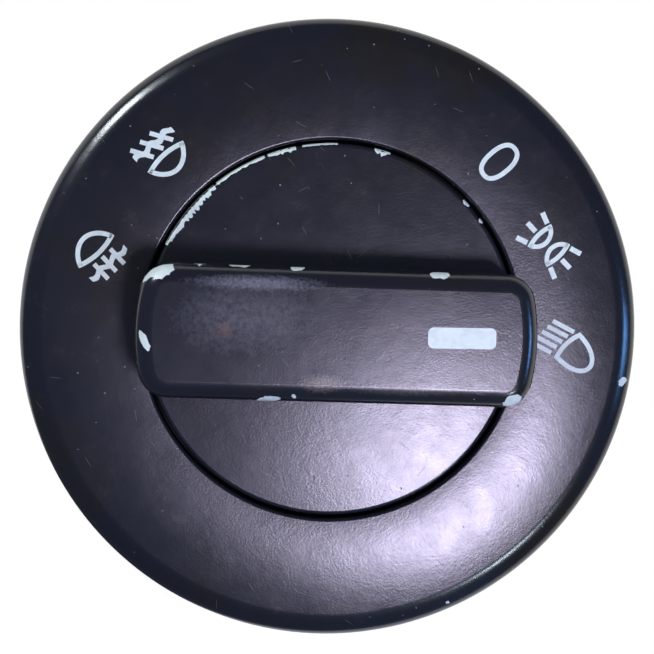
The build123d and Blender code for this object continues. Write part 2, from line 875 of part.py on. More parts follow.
# Barrel housing: floor with the rotor bearing, barrel, board ribs, guide ribs and latch guides
with BuildPart() as barrel_housing:
    ring(ear_radius, barrel_inner_radius, -collar_length, floor_front)
    ring(barrel_radius, barrel_inner_radius, cover_front, -collar_length)
    ring(ear_radius, 0, floor_back, floor_front)
    ring(hub_radius + journal_gap + bearing_wall, 0, bearing_back, floor_front + 4 * slide_gap)
    ring(hub_radius + journal_gap, 0, bearing_back, floor_front + 4 * slide_gap, mode=Mode.SUBTRACT)
    rib_inner = ring_outer_radius + slide_gap
    for start, end in ring_rib_arcs:
        sector(
            rib_inner + ring_rib_wall,
            rib_inner,
            start,
            end,
            floor_front - seat_gap,
            floor_front + ring_rib_height,
        )
    for angle in latch_angles.values():
        for side in (-1, 1):
            with BuildSketch(turned_plane(floor_front, angle)) as latch_guide:
                with Locations((latch_post_circle, side * (latch_width + 2 * slide_gap + latch_guide_wall) / 2)):
                    Rectangle(latch_body_depth, latch_guide_wall)
            extrude(latch_guide.sketch, amount=latch_guide_height)
    for angle in bezel_leg_angles:
        catch_front = floor_front - catch_window_front - slide_gap
        catch_back = floor_back - catch_window_back + slide_gap
        profile_block(
            [
                (ear_radius - catch_depth, catch_front),
                (collar_inner_radius, catch_front),
                (collar_rear_radius - 3 * slide_gap, catch_back),
                (ear_radius - catch_depth, catch_back),
            ],
            cover_tab_width - 4 * slide_gap,
            angle,
        )
    for angle in cover_tab_angles:
        block(
            stake_circle - board_post_width / 2,
            barrel_inner_radius + root_overlap,
            board_post_width,
            angle,
            board_face,
            floor_back + root_overlap,
        )
        post(stake_radius, polar(stake_circle, angle), board_back - stake_head, board_face)
        post(
            stake_radius + stake_head_margin,
            polar(stake_circle, angle),
            board_back - stake_head,
            board_back,
        )
        block(
            barrel_inner_radius - cut_margin,
            barrel_radius + cut_margin,
            cover_tab_width + 4 * slide_gap,
            angle,
            cover_front + cover_window_start,
            cover_front + cover_window_start + cover_window_length,
            mode=Mode.SUBTRACT,
        )
    for angle in (0, 180):
        block(
            barrel_inner_radius - guide_rib_reach,
            barrel_inner_radius + root_overlap,
            guide_rib_width,
            angle,
            cover_front + free_gap,
            floor_back + root_overlap,
        )
    for angle in barrel_rib_angles:
        block(
            barrel_inner_radius + root_overlap,
            barrel_radius + barrel_rib_height,
            barrel_rib_width,
            angle,
            cover_front,
            -collar_length + root_overlap,
        )
    leaf_back = (disc_front + disc_back) / 2 - leaf_width / 2
    for side in (-1, 1):
        with BuildSketch(face_plane(leaf_back)) as leaf_post:
            with Locations((side * leaf_half_length, leaf_seat_z)):
                Rectangle(leaf_post_width, leaf_post_depth)
                Rectangle(leaf_post_width, leaf_thickness + slide_gap, mode=Mode.SUBTRACT)
        extrude(leaf_post.sketch, amount=leaf_width)
        with BuildSketch(face_plane(leaf_back + leaf_width)) as leaf_foot:
            with Locations((side * leaf_half_length, leaf_seat_z)):
                Rectangle(leaf_post_width, leaf_post_depth)
        extrude(leaf_foot.sketch, amount=floor_back + root_overlap - leaf_back - leaf_width)
    block(
        link_pin_radius - link_pin_side,
        link_pin_radius + link_pin_side,
        link_pin_spacing + 2 * link_pin_side,
        -90,
        floor_back,
        floor_front + ring_rib_height,
        mode=Mode.SUBTRACT,
    )
save(barrel_housing, "barrel_housing")

# Detent leaf: strip with a rounded nose in the rotor's notch
nose_radius = notch_radius - slide_gap
nose_low = disc_radius - notch_depth + slide_gap
with BuildPart() as detent_spring:
    with BuildSketch(face_plane(leaf_back)) as leaf_outline:
        with BuildLine() as leaf_path:
            nose = CenterArc((0, nose_low + nose_radius), nose_radius - leaf_thickness / 2, 270 - nose_arc / 2, nose_arc)
            arm_right = Line(nose @ 1, (leaf_knee, leaf_seat_z))
            Line(arm_right @ 1, (leaf_half_length + leaf_end_margin, leaf_seat_z))
            arm_left = Line(nose @ 0, (-leaf_knee, leaf_seat_z))
            Line(arm_left @ 1, (-leaf_half_length - leaf_end_margin, leaf_seat_z))
        trace(line_width=leaf_thickness)
    extrude(leaf_outline.sketch, amount=leaf_width)
save(detent_spring, "detent_spring")

# Fog carriage: slide on the shaft's journal, guided by the barrel's two ribs
rail_under = rail_z - rail_thickness / 2
arm_top = rail_under - 4 * fog_bridge_thickness - 4 * slide_gap
with BuildPart() as fog_carriage:
    carriage_reach = barrel_inner_radius - 3 * free_gap
    with BuildSketch(face_plane(carriage_back)) as carriage_outline:
        Circle(carriage_hub_radius)
        with Locations((carriage_end_radius - carriage_reach, 0), (carriage_reach - carriage_end_radius, 0)):
            Circle(carriage_end_radius)
        make_hull()
    extrude(carriage_outline.sketch, amount=carriage_thickness)
    with BuildSketch(face_plane(carriage_back)) as carriage_arm:
        with Locations((0, arm_top / 2)):
            Rectangle(carriage_arm_width, arm_top)
    extrude(carriage_arm.sketch, amount=carriage_thickness)
    ring(journal_radius + journal_gap, 0, carriage_back, carriage_front, mode=Mode.SUBTRACT)
    for angle in (0, 180):
        block(
            barrel_inner_radius - guide_rib_reach - 2 * slide_gap,
            barrel_radius,
            guide_rib_width + 2 * slide_gap,
            angle,
            carriage_back,
            carriage_front,
            mode=Mode.SUBTRACT,
        )
save(fog_carriage, "fog_carriage")

# Fog contact bridge: bent strip on the carriage's arm, under the two rails
with BuildPart() as fog_contact_bridge:
    with BuildSketch(face_plane(carriage_back + slide_gap)) as bridge_outline:
        strip_low = arm_top + fog_bridge_thickness / 2
        strip_high = rail_under - 2 * slide_gap - fog_bridge_thickness / 2
        with BuildLine():
            Polyline(
                (-rail_x - fog_finger_reach, strip_low + fog_finger_lift),
                (-rail_x - fog_finger_half, strip_high),
                (-rail_x + fog_finger_half, strip_high),
                (-rail_x + fog_finger_reach, strip_low),
                (rail_x - fog_finger_reach, strip_low),
                (rail_x - fog_finger_half, strip_high),
                (rail_x + fog_finger_half, strip_high),
                (rail_x + fog_finger_reach, strip_low + fog_finger_lift),
            )
        trace(line_width=fog_bridge_thickness)
    extrude(bridge_outline.sketch, amount=carriage_thickness - 2 * slide_gap)
save(fog_contact_bridge, "fog_contact_bridge")

# Fog contact rails: strips that stand on the contact board
for rail_name, side in {"fog_contact_rail_left": -1, "fog_contact_rail_right": 1}.items():
    with BuildPart() as rail:
        with BuildSketch(face_plane(cover_front + 3 * slide_gap)) as rail_outline:
            with Locations((side * rail_x, rail_z)):
                Rectangle(rail_width, rail_thickness)
        extrude(rail_outline.sketch, amount=board_back - cover_front - 3 * slide_gap)
        with BuildSketch(face_plane(board_back)) as rail_tail:
            with Locations((side * rail_x, rail_z)):
                Rectangle(rail_width / 2, rail_thickness)
        extrude(rail_tail.sketch, amount=board_thickness - 2 * slide_gap)
    save(rail, rail_name)

# Rear cover: plate with snap tabs, terminal slots and the connector shroud
shroud_width = (terminal_columns - 1) * terminal_pitch + 2 * connector_margin + 2 * connector_wall
shroud_height = (terminal_rows - 1) * terminal_row_pitch + 2 * connector_margin + 2 * connector_wall
with BuildPart() as rear_cover:
    ring(barrel_radius, 0, cover_back, cover_front)
    chamfer(rear_cover.faces().sort_by(Axis.Y)[-1].edges(), cover_bevel)
    ring(
        barrel_radius - cover_bevel,
        barrel_radius - cover_bevel - cover_rim_width,
        cover_back - cover_rib_height,
        cover_back,
    )
    ring(cover_boss_radius, 0, cover_back - cover_rib_height, cover_back)
    for angle in cover_rib_angles:
        block(
            cover_boss_radius - root_overlap,
            barrel_radius - cover_bevel - root_overlap,
            cover_rib_width,
            angle,
            cover_back - cover_rib_height,
            cover_back,
        )
    with BuildSketch(face_plane(connector_end)) as shroud_outline:
        with Locations((0, connector_z)):
            RectangleRounded(shroud_width, shroud_height, connector_corner)
            RectangleRounded(
                shroud_width - 2 * connector_wall,
                shroud_height - 2 * connector_wall,
                connector_corner / 2,
                mode=Mode.SUBTRACT,
            )
        key_z = connector_z + (shroud_height + connector_key_height) / 2 - root_overlap / 2
        with Locations((-shroud_width / 4, key_z), (shroud_width / 4, key_z)):
            Rectangle(connector_key_width, connector_key_height + root_overlap)
    extrude(shroud_outline.sketch, amount=connector_depth)
    lug_base = -connector_z + shroud_height / 2
    lug_front = cover_back - connector_lug_start
    profile_block(
        [
            (lug_base - root_overlap, lug_front),
            (lug_base + connector_lug_height, lug_front),
            (lug_base + connector_lug_height, lug_front - connector_lug_flat),
            (lug_base, lug_front - connector_lug_flat - connector_lug_ramp),
            (lug_base - root_overlap, lug_front - connector_lug_flat - connector_lug_ramp),
        ],
        connector_lug_width,
        -90,
    )
    with BuildSketch(face_plane(cover_back)) as terminal_slots:
        with Locations(*terminal_places):
            Rectangle(terminal_width + 2 * slide_gap, terminal_thickness + 2 * slide_gap)
    extrude(terminal_slots.sketch, amount=cover_thickness, mode=Mode.SUBTRACT)
    tab_outer = barrel_inner_radius - slide_gap
    tab_half_angle = degrees(cover_tab_width / 2 / tab_outer)
    tab_hook_back = cover_front + cover_window_start + slide_gap
    for angle in cover_tab_angles:
        sector(
            tab_outer,
            tab_outer - cover_tab_thickness,
            angle - tab_half_angle,
            angle + tab_half_angle,
            cover_front - cover_thickness / 2,
            cover_front + cover_tab_length,
        )
        profile_block(
            [
                (tab_outer - cover_tab_thickness / 2, tab_hook_back),
                (barrel_radius - 2 * slide_gap, tab_hook_back),
                (tab_outer, tab_hook_back + cover_hook_length),
                (tab_outer - cover_tab_thickness / 2, tab_hook_back + cover_hook_length),
            ],
            cover_tab_width,
            angle,
        )
save(rear_cover, "rear_cover")

# Terminals: blades with a narrow stem soldered in the contact board
for index, (place_x, place_z) in enumerate(terminal_places):
    with BuildPart() as terminal:
        with BuildSketch(face_plane(connector_end + terminal_short)) as blade:
            with Locations((place_x, place_z)):
                Rectangle(terminal_width, terminal_thickness)
        extrude(blade.sketch, amount=cover_front - connector_end - terminal_short)
        chamfer(terminal.faces().sort_by(Axis.Y)[-1].edges(), terminal_tip)
        with BuildSketch(face_plane(cover_front)) as stem:
            with Locations((place_x, place_z)):
                Rectangle(terminal_stem_width, terminal_thickness)
        extrude(stem.sketch, amount=board_face - 2 * slide_gap - cover_front)
    save(terminal, "terminal_" + str(index + 1))
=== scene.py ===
import json
import logging
import random
from collections.abc import Callable, Iterator
from contextlib import contextmanager
from dataclasses import dataclass
from enum import Enum
from math import atan2, cos, hypot, pi, radians, sin, tan

import bmesh
import bpy
from mathutils import Matrix, Vector
from mathutils.bvhtree import BVHTree


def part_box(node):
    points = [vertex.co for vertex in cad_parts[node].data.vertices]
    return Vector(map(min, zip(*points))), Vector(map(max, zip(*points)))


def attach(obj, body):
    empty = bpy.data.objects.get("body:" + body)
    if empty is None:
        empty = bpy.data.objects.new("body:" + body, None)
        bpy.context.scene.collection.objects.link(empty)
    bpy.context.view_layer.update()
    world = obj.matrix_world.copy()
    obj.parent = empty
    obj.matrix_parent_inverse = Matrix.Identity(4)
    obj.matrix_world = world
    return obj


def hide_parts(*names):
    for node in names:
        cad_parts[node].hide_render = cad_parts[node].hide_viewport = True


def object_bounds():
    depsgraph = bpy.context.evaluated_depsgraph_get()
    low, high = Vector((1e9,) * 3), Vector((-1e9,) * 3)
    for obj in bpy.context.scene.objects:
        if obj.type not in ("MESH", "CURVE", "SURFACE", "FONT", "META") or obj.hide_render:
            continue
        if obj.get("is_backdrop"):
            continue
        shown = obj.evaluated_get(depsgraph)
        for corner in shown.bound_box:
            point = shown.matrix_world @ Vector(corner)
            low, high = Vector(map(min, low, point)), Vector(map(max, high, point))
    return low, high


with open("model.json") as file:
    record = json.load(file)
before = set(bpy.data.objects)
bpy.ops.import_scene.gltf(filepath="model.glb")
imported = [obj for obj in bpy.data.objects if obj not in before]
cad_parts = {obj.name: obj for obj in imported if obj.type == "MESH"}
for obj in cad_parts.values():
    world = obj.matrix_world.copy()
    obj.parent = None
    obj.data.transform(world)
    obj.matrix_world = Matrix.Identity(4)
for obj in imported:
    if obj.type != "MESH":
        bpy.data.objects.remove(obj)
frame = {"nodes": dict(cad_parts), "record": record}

logging.basicConfig(level=logging.INFO, format="%(message)s")
log = logging.getLogger("headlight_switch")

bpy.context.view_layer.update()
MM = 0.001
# the grip bar's direction, in degrees from +X toward +Z, as in the CAD
BAR_ANGLE = 44.5
# turns a mesh drawn flat in X and Y to the face, which looks toward -Y
TO_FACE = Matrix(((1, 0, 0, 0), (0, 0, -1, 0), (0, 1, 0, 0), (0, 0, 0, 1)))

Socket = bpy.types.NodeSocket
Mesh = bpy.types.Object
Point = tuple[float, float]


class Body(Enum):
    """Bodies of the frame that new pieces ride on."""

    HOUSING = "housing"
    KNOB = "knob"


class Grip(Enum):
    """How a thin piece is brought to the surface that carries it."""

    STRAIGHT_BACK = "PROJECT"
    NEAREST = "NEAREST_SURFACEPOINT"
    AS_PLACED = ""


def linear(hex_colour: str) -> tuple[float, float, float, float]:
    """Turns an sRGB hex colour into linear values.

    Args:
        hex_colour: colour such as "#1a1b22".

    Returns:
        Red, green, blue and alpha for a colour socket.
    """
    channels = [int(hex_colour[start:start + 2], 16) / 255 for start in (1, 3, 5)]
    curved = [c / 12.92 if c <= 0.04045 else ((c + 0.055) / 1.055) ** 2.4 for c in channels]
    return (curved[0], curved[1], curved[2], 1.0)


def per_mm(size_mm: float) -> float:
    """Gives the texture scale at which a pattern's unit is this many millimetres."""
    return 1 / (size_mm * MM)


def add_node(
    tree: bpy.types.NodeTree,
    kind: str,
    inputs: dict[str | int, object] | None = None,
    output: str | int = 0,
    **settings: object,
) -> Socket:
    """Adds a node with its settings, input values and links.

    Args:
        tree: the material's or the world's node tree.
        kind: the node's type.
        inputs: value or source socket for each named or numbered input.
        output: name or number of the output that is wanted.
        settings: values of the node's own fields.

    Returns:
        The wanted output.
    """
    node = tree.nodes.new(kind)
    for key, value in settings.items():
        setattr(node, key, value)
    for key, value in (inputs or {}).items():
        if isinstance(value, Socket):
            tree.links.new(value, node.inputs[key])
        else:
            node.inputs[key].default_value = value
    return node.outputs[output] if len(node.outputs) else None


def activate(piece: Mesh) -> None:
    """Selects a piece alone and makes it the active one.

    Args:
        piece: the object to select.
    """
    bpy.ops.object.select_all(action="DESELECT")
    piece.select_set(True)
    bpy.context.view_layer.objects.active = piece


@contextmanager
def editing(piece: Mesh) -> Iterator[None]:
    """Opens a piece in edit mode with everything on it selected.

    Args:
        piece: the mesh to edit.

    Yields:
        Nothing. Edit mode ends where the block does.
    """
    activate(piece)
    bpy.ops.object.mode_set(mode="EDIT")
    bpy.ops.mesh.select_all(action="SELECT")
    yield
    bpy.ops.object.mode_set(mode="OBJECT")


def settle(piece: Mesh, matrix: Matrix) -> None:
    """Moves a piece's mesh by a matrix and leaves its object at the origin."""
    piece.data.transform(matrix @ piece.matrix_world)
    piece.matrix_world = Matrix.Identity(4)


def finish_modifier(piece: Mesh, name: str, kind: str, **settings: object) -> None:
    """Adds a modifier with these settings and applies it.

    Args:
        piece: the mesh that gets the modifier.
        name: the modifier's name.
        kind: the modifier's type.
        settings: values of the modifier's own fields.
    """
    activate(piece)
    modifier = piece.modifiers.new(name, kind)
    for key, value in settings.items():
        setattr(modifier, key, value)
    bpy.ops.object.modifier_apply(modifier=name)


@dataclass(frozen=True)
class ThinLayer:
    """Lays a flat mesh on a surface as a thin closed layer, partly sunk so that it has no gap below."""

    lift: float = 0.03
    sink: float = 0.05

    def lay(self, piece: Mesh, carrier: Mesh, grip: Grip) -> None:
        """Brings the piece to its carrier and gives it a thickness.

        Args:
            piece: flat mesh that faces away from the carrier.
            carrier: the surface that carries the piece.
            grip: how the piece is brought to the surface.
        """
        wrap: dict[str, object] = {"target": carrier, "wrap_method": grip.value}
        if grip is Grip.STRAIGHT_BACK:
            wrap |= {"use_project_y": True, "use_negative_direction": False}
            wrap["use_positive_direction"] = True
        if grip is not Grip.AS_PLACED:
            finish_modifier(piece, "wrap", "SHRINKWRAP", **wrap)
        thickness = self.lift + self.sink
        outward = self.lift / thickness * 2 - 1
        finish_modifier(piece, "layer", "SOLIDIFY", thickness=thickness * MM, offset=outward)


def fasten(
    parts: list[Mesh], name: str, body: Body, finish: bpy.types.Material
) -> Mesh:
    """Joins parts into one piece, dresses it and fastens it to a body.

    Args:
        parts: meshes with their places already in the mesh.
        name: name of the joined piece.
        body: the body that it rides on.
        finish: its material.

    Returns:
        The joined piece.
    """
    activate(parts[0])
    for part in parts[1:]:
        part.select_set(True)
    if len(parts) > 1:
        bpy.ops.object.join()
    piece = bpy.context.view_layer.objects.active
    piece.name = name
    piece.data.name = name
    piece.data.materials.clear()
    piece.data.materials.append(finish)
    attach(piece, body.value)
    log.info("%s: %d faces", name, len(piece.data.polygons))
    return piece


class Shading:
    """One material under way: its node tree, its shader and its object coordinates."""

    def __init__(self, name: str) -> None:
        """Starts a material with a shader and an output.

        Args:
            name: the material's name.
        """
        self.material = bpy.data.materials.new(name)
        self.material.use_nodes = True
        self.tree = self.material.node_tree
        self.tree.nodes.clear()
        self.surface = add_node(self.tree, "ShaderNodeBsdfPrincipled")
        add_node(self.tree, "ShaderNodeOutputMaterial", {"Surface": self.surface})
        self.place = add_node(self.tree, "ShaderNodeTexCoord", output="Object")

    def clouds(
        self, tones: tuple[str, str], size_mm: float, detail: float, edge: Point
    ) -> tuple[Socket, Socket]:
        """Mixes two tones in soft clouds, as flow marks, ageing and grease do.

        Args:
            tones: the main colour and the clouds' colour.
            size_mm: size of a cloud.
            detail: how finely its edge breaks up.
            edge: the noise's values between which the second tone comes in.

        Returns:
            The noise's value and the mixed colour.
        """
        noise = {"Vector": self.place, "Scale": per_mm(size_mm), "Detail": detail}
        cloud = add_node(self.tree, "ShaderNodeTexNoise", noise)
        limits = {"Value": cloud, "From Min": edge[0], "From Max": edge[1]}
        share = add_node(self.tree, "ShaderNodeMapRange", limits)
        mixed = {0: share, 6: linear(tones[0]), 7: linear(tones[1])}
        return cloud, add_node(self.tree, "ShaderNodeMix", mixed, 2, data_type="RGBA")

    def relief(self, size_mm: float, detail: float, depth_mm: float, under: Socket | None = None) -> Socket:
        """Raises a fine, even relief on the surface.

        Args:
            size_mm: size of a grain.
            detail: how finely the grain breaks up.
            depth_mm: the relief's height.
            under: normal of a finer relief that this one carries.

        Returns:
            The surface's normal.
        """
        noise = {"Vector": self.place, "Scale": per_mm(size_mm), "Detail": detail}
        raised: dict[str | int, object] = {"Height": add_node(self.tree, "ShaderNodeTexNoise", noise)}
        raised["Distance"] = depth_mm * MM
        if under is not None:
            raised["Normal"] = under
        return add_node(self.tree, "ShaderNodeBump", raised)

    def finish(self, values: dict[str, object]) -> bpy.types.Material:
        """Sets or links the shader's inputs.

        Args:
            values: value or source socket for each of the shader's inputs.

        Returns:
            The finished material.
        """
        for key, value in values.items():
            socket = self.surface.node.inputs[key]
            if isinstance(value, Socket):
                self.tree.links.new(value, socket)
            else:
                socket.default_value = value
        return self.material


@dataclass(frozen=True)
class GripBar:
    """The knob's grip bar as the new pieces see it: its direction and the height of its top."""

    angle: float = BAR_ANGLE

    def spot(self, along: float, across: float) -> Vector:
        """Turns a place on the bar's top into a point of the frame.

        Args:
            along: distance from the bar's middle toward the pointer, in millimetres.
            across: distance to the left of that direction, in millimetres.

        Returns:
            The point, in metres.
        """
        turn = radians(self.angle)
        x = along * cos(turn) - across * sin(turn)
        z = along * sin(turn) + across * cos(turn)
        return Vector((x * MM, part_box("knob")[0][1], z * MM))


@dataclass(frozen=True)
class Patch:
    """Worn or dirty place on the grip bar's paint, or a painted highlight on it, with the mottled colour it
    shows.

    The place and the reach are along and across the bar, in millimetres.
    """

    place: Point
    reach: Point
    colour: str
    mottle_mm: float
    amount: float

    def lay(self, shading: Shading, colour: Socket) -> Socket:
        """Mixes the patch into the paint's colour.

        Args:
            shading: the material under way.
            colour: the colour so far.

        Returns:
            The new colour.
        """
        tree = shading.tree
        spot = GripBar().spot(*self.place)
        centre = {0: shading.place, 1: (spot.x, 0.0, spot.z)}
        away = add_node(tree, "ShaderNodeVectorMath", centre, operation="SUBTRACT")
        angle = {"Vector": away, "Angle": radians(BAR_ANGLE)}
        turned = add_node(tree, "ShaderNodeVectorRotate", angle, rotation_type="Y_AXIS")
        scale = (per_mm(self.reach[0]), 0.0, per_mm(self.reach[1]))
        scaled = add_node(tree, "ShaderNodeVectorMath", {0: turned, 1: scale}, operation="MULTIPLY")
        far = add_node(tree, "ShaderNodeVectorMath", {0: scaled}, "Value", operation="LENGTH")
        near = add_node(tree, "ShaderNodeMapRange", {"Value": far, "From Min": 1.0, "From Max": 0.15})
        mottle = {"Vector": shading.place, "Scale": per_mm(self.mottle_mm), "Detail": 5.0, "Roughness": 0.75}
        cloud = add_node(tree, "ShaderNodeTexNoise", mottle)
        spots = add_node(tree, "ShaderNodeMath", {0: near, 1: cloud}, operation="MULTIPLY")
        edge = {"Value": spots, "From Min": 0.22, "From Max": 0.62, "To Max": self.amount}
        share = add_node(tree, "ShaderNodeMapRange", edge)
        tones = {0: share, 6: colour, 7: linear(self.colour)}
        return add_node(tree, "ShaderNodeMix", tones, 2, data_type="RGBA")


@dataclass(frozen=True)
class Finish:
    """Base of every finish, named for the real material and for how its surface was made."""

    name: str

    def material(self) -> bpy.types.Material:
        """Makes the finish's material."""
        raise NotImplementedError


@dataclass(frozen=True)
class SoftGlossPaint(Finish):
    """Black soft-gloss lacquer sprayed on moulded polycarbonate.

    The fine spray grain makes its sheen glitter, years of hands leave grease clouds and brown grime, and
    dust and short scratches stay on it.
    """

    colour: str = "#181a22"
    warm_colour: str = "#1d1916"
    grime_colour: str = "#4a3d33"
    dust_colour: str = "#9a968e"
    roughness: float = 0.2
    # real spray grain is about 0.05 mm, too fine to show, so it is drawn at 0.22 mm
    grain_mm: float = 0.22
    grain_depth_mm: float = 0.007
    peel_mm: float = 1.3
    peel_depth_mm: float = 0.006
    cloud_mm: float = 11.0
    grime_mm: float = 3.2
    grime_amount: float = 0.35
    dust_cell_mm: float = 1.5
    dust_mm: float = 0.11
    # share of the cells that hold a speck or a scratch, and how strongly it shows
    dust_share: float = 0.45
    dust_amount: float = 0.75
    scratch_cell_mm: float = 4.5
    scratch_mm: Point = (0.75, 0.03)
    scratch_share: float = 0.22
    scratch_amount: float = 0.24
    patches: tuple[Patch, ...] = ()

    def cells(self, shading: Shading, cell_mm: float) -> tuple[Socket, Socket, Socket]:
        """Divides the surface into scattered cells.

        Args:
            shading: the material under way.
            cell_mm: spacing of the cells.

        Returns:
            Place inside a cell in cell units, and two random values of the cell.
        """
        tree = shading.tree
        sized = {0: shading.place, "Scale": per_mm(cell_mm)}
        place = add_node(tree, "ShaderNodeVectorMath", sized, operation="SCALE")
        middle = add_node(tree, "ShaderNodeTexVoronoi", {"Vector": place, "Scale": 1.0}, "Position")
        inside = add_node(tree, "ShaderNodeVectorMath", {0: place, 1: middle}, operation="SUBTRACT")
        first = add_node(tree, "ShaderNodeTexWhiteNoise", {"Vector": middle}, "Value")
        second = add_node(tree, "ShaderNodeTexWhiteNoise", {"W": first}, "Value", noise_dimensions="1D")
        return inside, first, second

    def dust(self, shading: Shading) -> Socket:
        """Makes the dust specks, from half size to full size.

        Args:
            shading: the material under way.

        Returns:
            Socket that is above zero on a speck.
        """
        tree = shading.tree
        inside, first, second = self.cells(shading, self.dust_cell_mm)
        reach = add_node(tree, "ShaderNodeVectorMath", {0: inside}, "Value", operation="LENGTH")
        full = self.dust_mm / self.dust_cell_mm
        sizes = {"Value": second, "From Min": 0.0, "To Min": full * 0.5, "To Max": full}
        size = add_node(tree, "ShaderNodeMapRange", sizes)
        dot = add_node(tree, "ShaderNodeMath", {0: reach, 1: size}, operation="LESS_THAN")
        kept = add_node(tree, "ShaderNodeMath", {0: first, 1: self.dust_share}, operation="LESS_THAN")
        speck = add_node(tree, "ShaderNodeMath", {0: dot, 1: kept}, operation="MULTIPLY")
        return add_node(tree, "ShaderNodeMath", {0: speck, 1: self.dust_amount}, operation="MULTIPLY")

    def scratches(self, shading: Shading) -> Socket:
        """Makes short straight scratches that lie every way.

        Args:
            shading: the material under way.

        Returns:
            Socket that is above zero on a scratch.
        """
        tree = shading.tree
        inside, first, second = self.cells(shading, self.scratch_cell_mm)
        angle = add_node(tree, "ShaderNodeMath", {0: second, 1: 2 * pi}, operation="MULTIPLY")
        lying = {"Vector": inside, "Angle": angle}
        turned = add_node(tree, "ShaderNodeVectorRotate", lying, rotation_type="Y_AXIS")
        both: Socket | float = 1.0
        for axis, size_mm in zip("XZ", self.scratch_mm):
            size = size_mm / self.scratch_cell_mm
            value = add_node(tree, "ShaderNodeSeparateXYZ", {0: turned}, axis)
            away = add_node(tree, "ShaderNodeMath", {0: value}, operation="ABSOLUTE")
            fade = {"Value": away, "From Min": size, "From Max": size * 0.5}
            near = add_node(tree, "ShaderNodeMapRange", fade)
            both = add_node(tree, "ShaderNodeMath", {0: near, 1: both}, operation="MULTIPLY")
        kept = add_node(tree, "ShaderNodeMath", {0: first, 1: self.scratch_share}, operation="LESS_THAN")
        line = add_node(tree, "ShaderNodeMath", {0: both, 1: kept}, operation="MULTIPLY")
        return add_node(tree, "ShaderNodeMath", {0: line, 1: self.scratch_amount}, operation="MULTIPLY")

    def material(self) -> bpy.types.Material:
        """Makes the paint's material.

        Returns:
            Paint with its grease, grime, dust, scratches, and patches of stain, grime, wear and painted
            highlight, in that order.
        """
        shading = Shading(self.name)
        tree, place = shading.tree, shading.place
        _, colour = shading.clouds((self.colour, self.warm_colour), self.cloud_mm, 4.0, (0.5, 0.68))
        smears = {"Vector": place, "Scale": per_mm(self.grime_mm), "Detail": 6.0, "Roughness": 0.7}
        smear = add_node(tree, "ShaderNodeTexNoise", smears)
        dirty = {"Value": smear, "From Min": 0.6, "From Max": 0.85, "To Max": self.grime_amount}
        grime = add_node(tree, "ShaderNodeMapRange", dirty)
        marks = {0: self.dust(shading), 1: self.scratches(shading)}
        mark = add_node(tree, "ShaderNodeMath", marks, operation="MAXIMUM")
        for share, tone in ((grime, self.grime_colour), (mark, self.dust_colour)):
            tones = {0: share, 6: colour, 7: linear(tone)}
            colour = add_node(tree, "ShaderNodeMix", tones, 2, data_type="RGBA")
        for patch in self.patches:
            colour = patch.lay(shading, colour)
        greasy = {"Value": smear, "From Min": 0.3, "From Max": 0.75}
        greasy |= {"To Min": self.roughness - 0.02, "To Max": self.roughness + 0.04}
        sheen = add_node(tree, "ShaderNodeMapRange", greasy)
        roughness = add_node(tree, "ShaderNodeMath", {0: sheen, 1: mark}, operation="ADD")
        grained = shading.relief(self.grain_mm, 2.0, self.grain_depth_mm)
        normal = shading.relief(self.peel_mm, 1.0, self.peel_depth_mm, grained)
        return shading.finish({"Base Color": colour, "Roughness": roughness, "Normal": normal, "IOR": 1.5})


@dataclass(frozen=True)
class BarePlastic(Finish):
    """White translucent polycarbonate where the paint is cut or chipped away: soft, even, with no grain."""

    name: str = "bare_white_polycarbonate"
    colour: str = "#e1ede5"
    shade: str = "#d0dbd5"
    roughness: float = 0.42

    def material(self) -> bpy.types.Material:
        """Makes the bare plastic's material.

        Returns:
            White plastic with faint soft clouds.
        """
        shading = Shading(self.name)
        cloud, colour = shading.clouds((self.colour, self.shade), 0.9, 3.0, (0.45, 0.8))
        raised = {"Height": cloud, "Distance": 0.005 * MM}
        normal = add_node(shading.tree, "ShaderNodeBump", raised)
        values = {"Base Color": colour, "Roughness": self.roughness, "Normal": normal, "IOR": 1.58}
        return shading.finish(values)


@dataclass(frozen=True)
class MouldedPlastic(Finish):
    """Injection-moulded nylon or acetal: even colour with faint flow marks, and the mould's own grain."""

    colour: str
    flow_colour: str
    roughness: float
    grain_mm: float
    grain_depth_mm: float

    def material(self) -> bpy.types.Material:
        """Makes the moulded plastic's material.

        Returns:
            Plastic that is a little duller where it flowed last.
        """
        shading = Shading(self.name)
        flow, colour = shading.clouds((self.colour, self.flow_colour), 7.0, 4.0, (0.4, 0.7))
        dull = {"Value": flow, "From Min": 0.3, "From Max": 0.7}
        dull |= {"To Min": self.roughness - 0.04, "To Max": self.roughness + 0.07}
        roughness = add_node(shading.tree, "ShaderNodeMapRange", dull)
        normal = shading.relief(self.grain_mm, 3.0, self.grain_depth_mm)
        return shading.finish({"Base Color": colour, "Roughness": roughness, "Normal": normal, "IOR": 1.5})


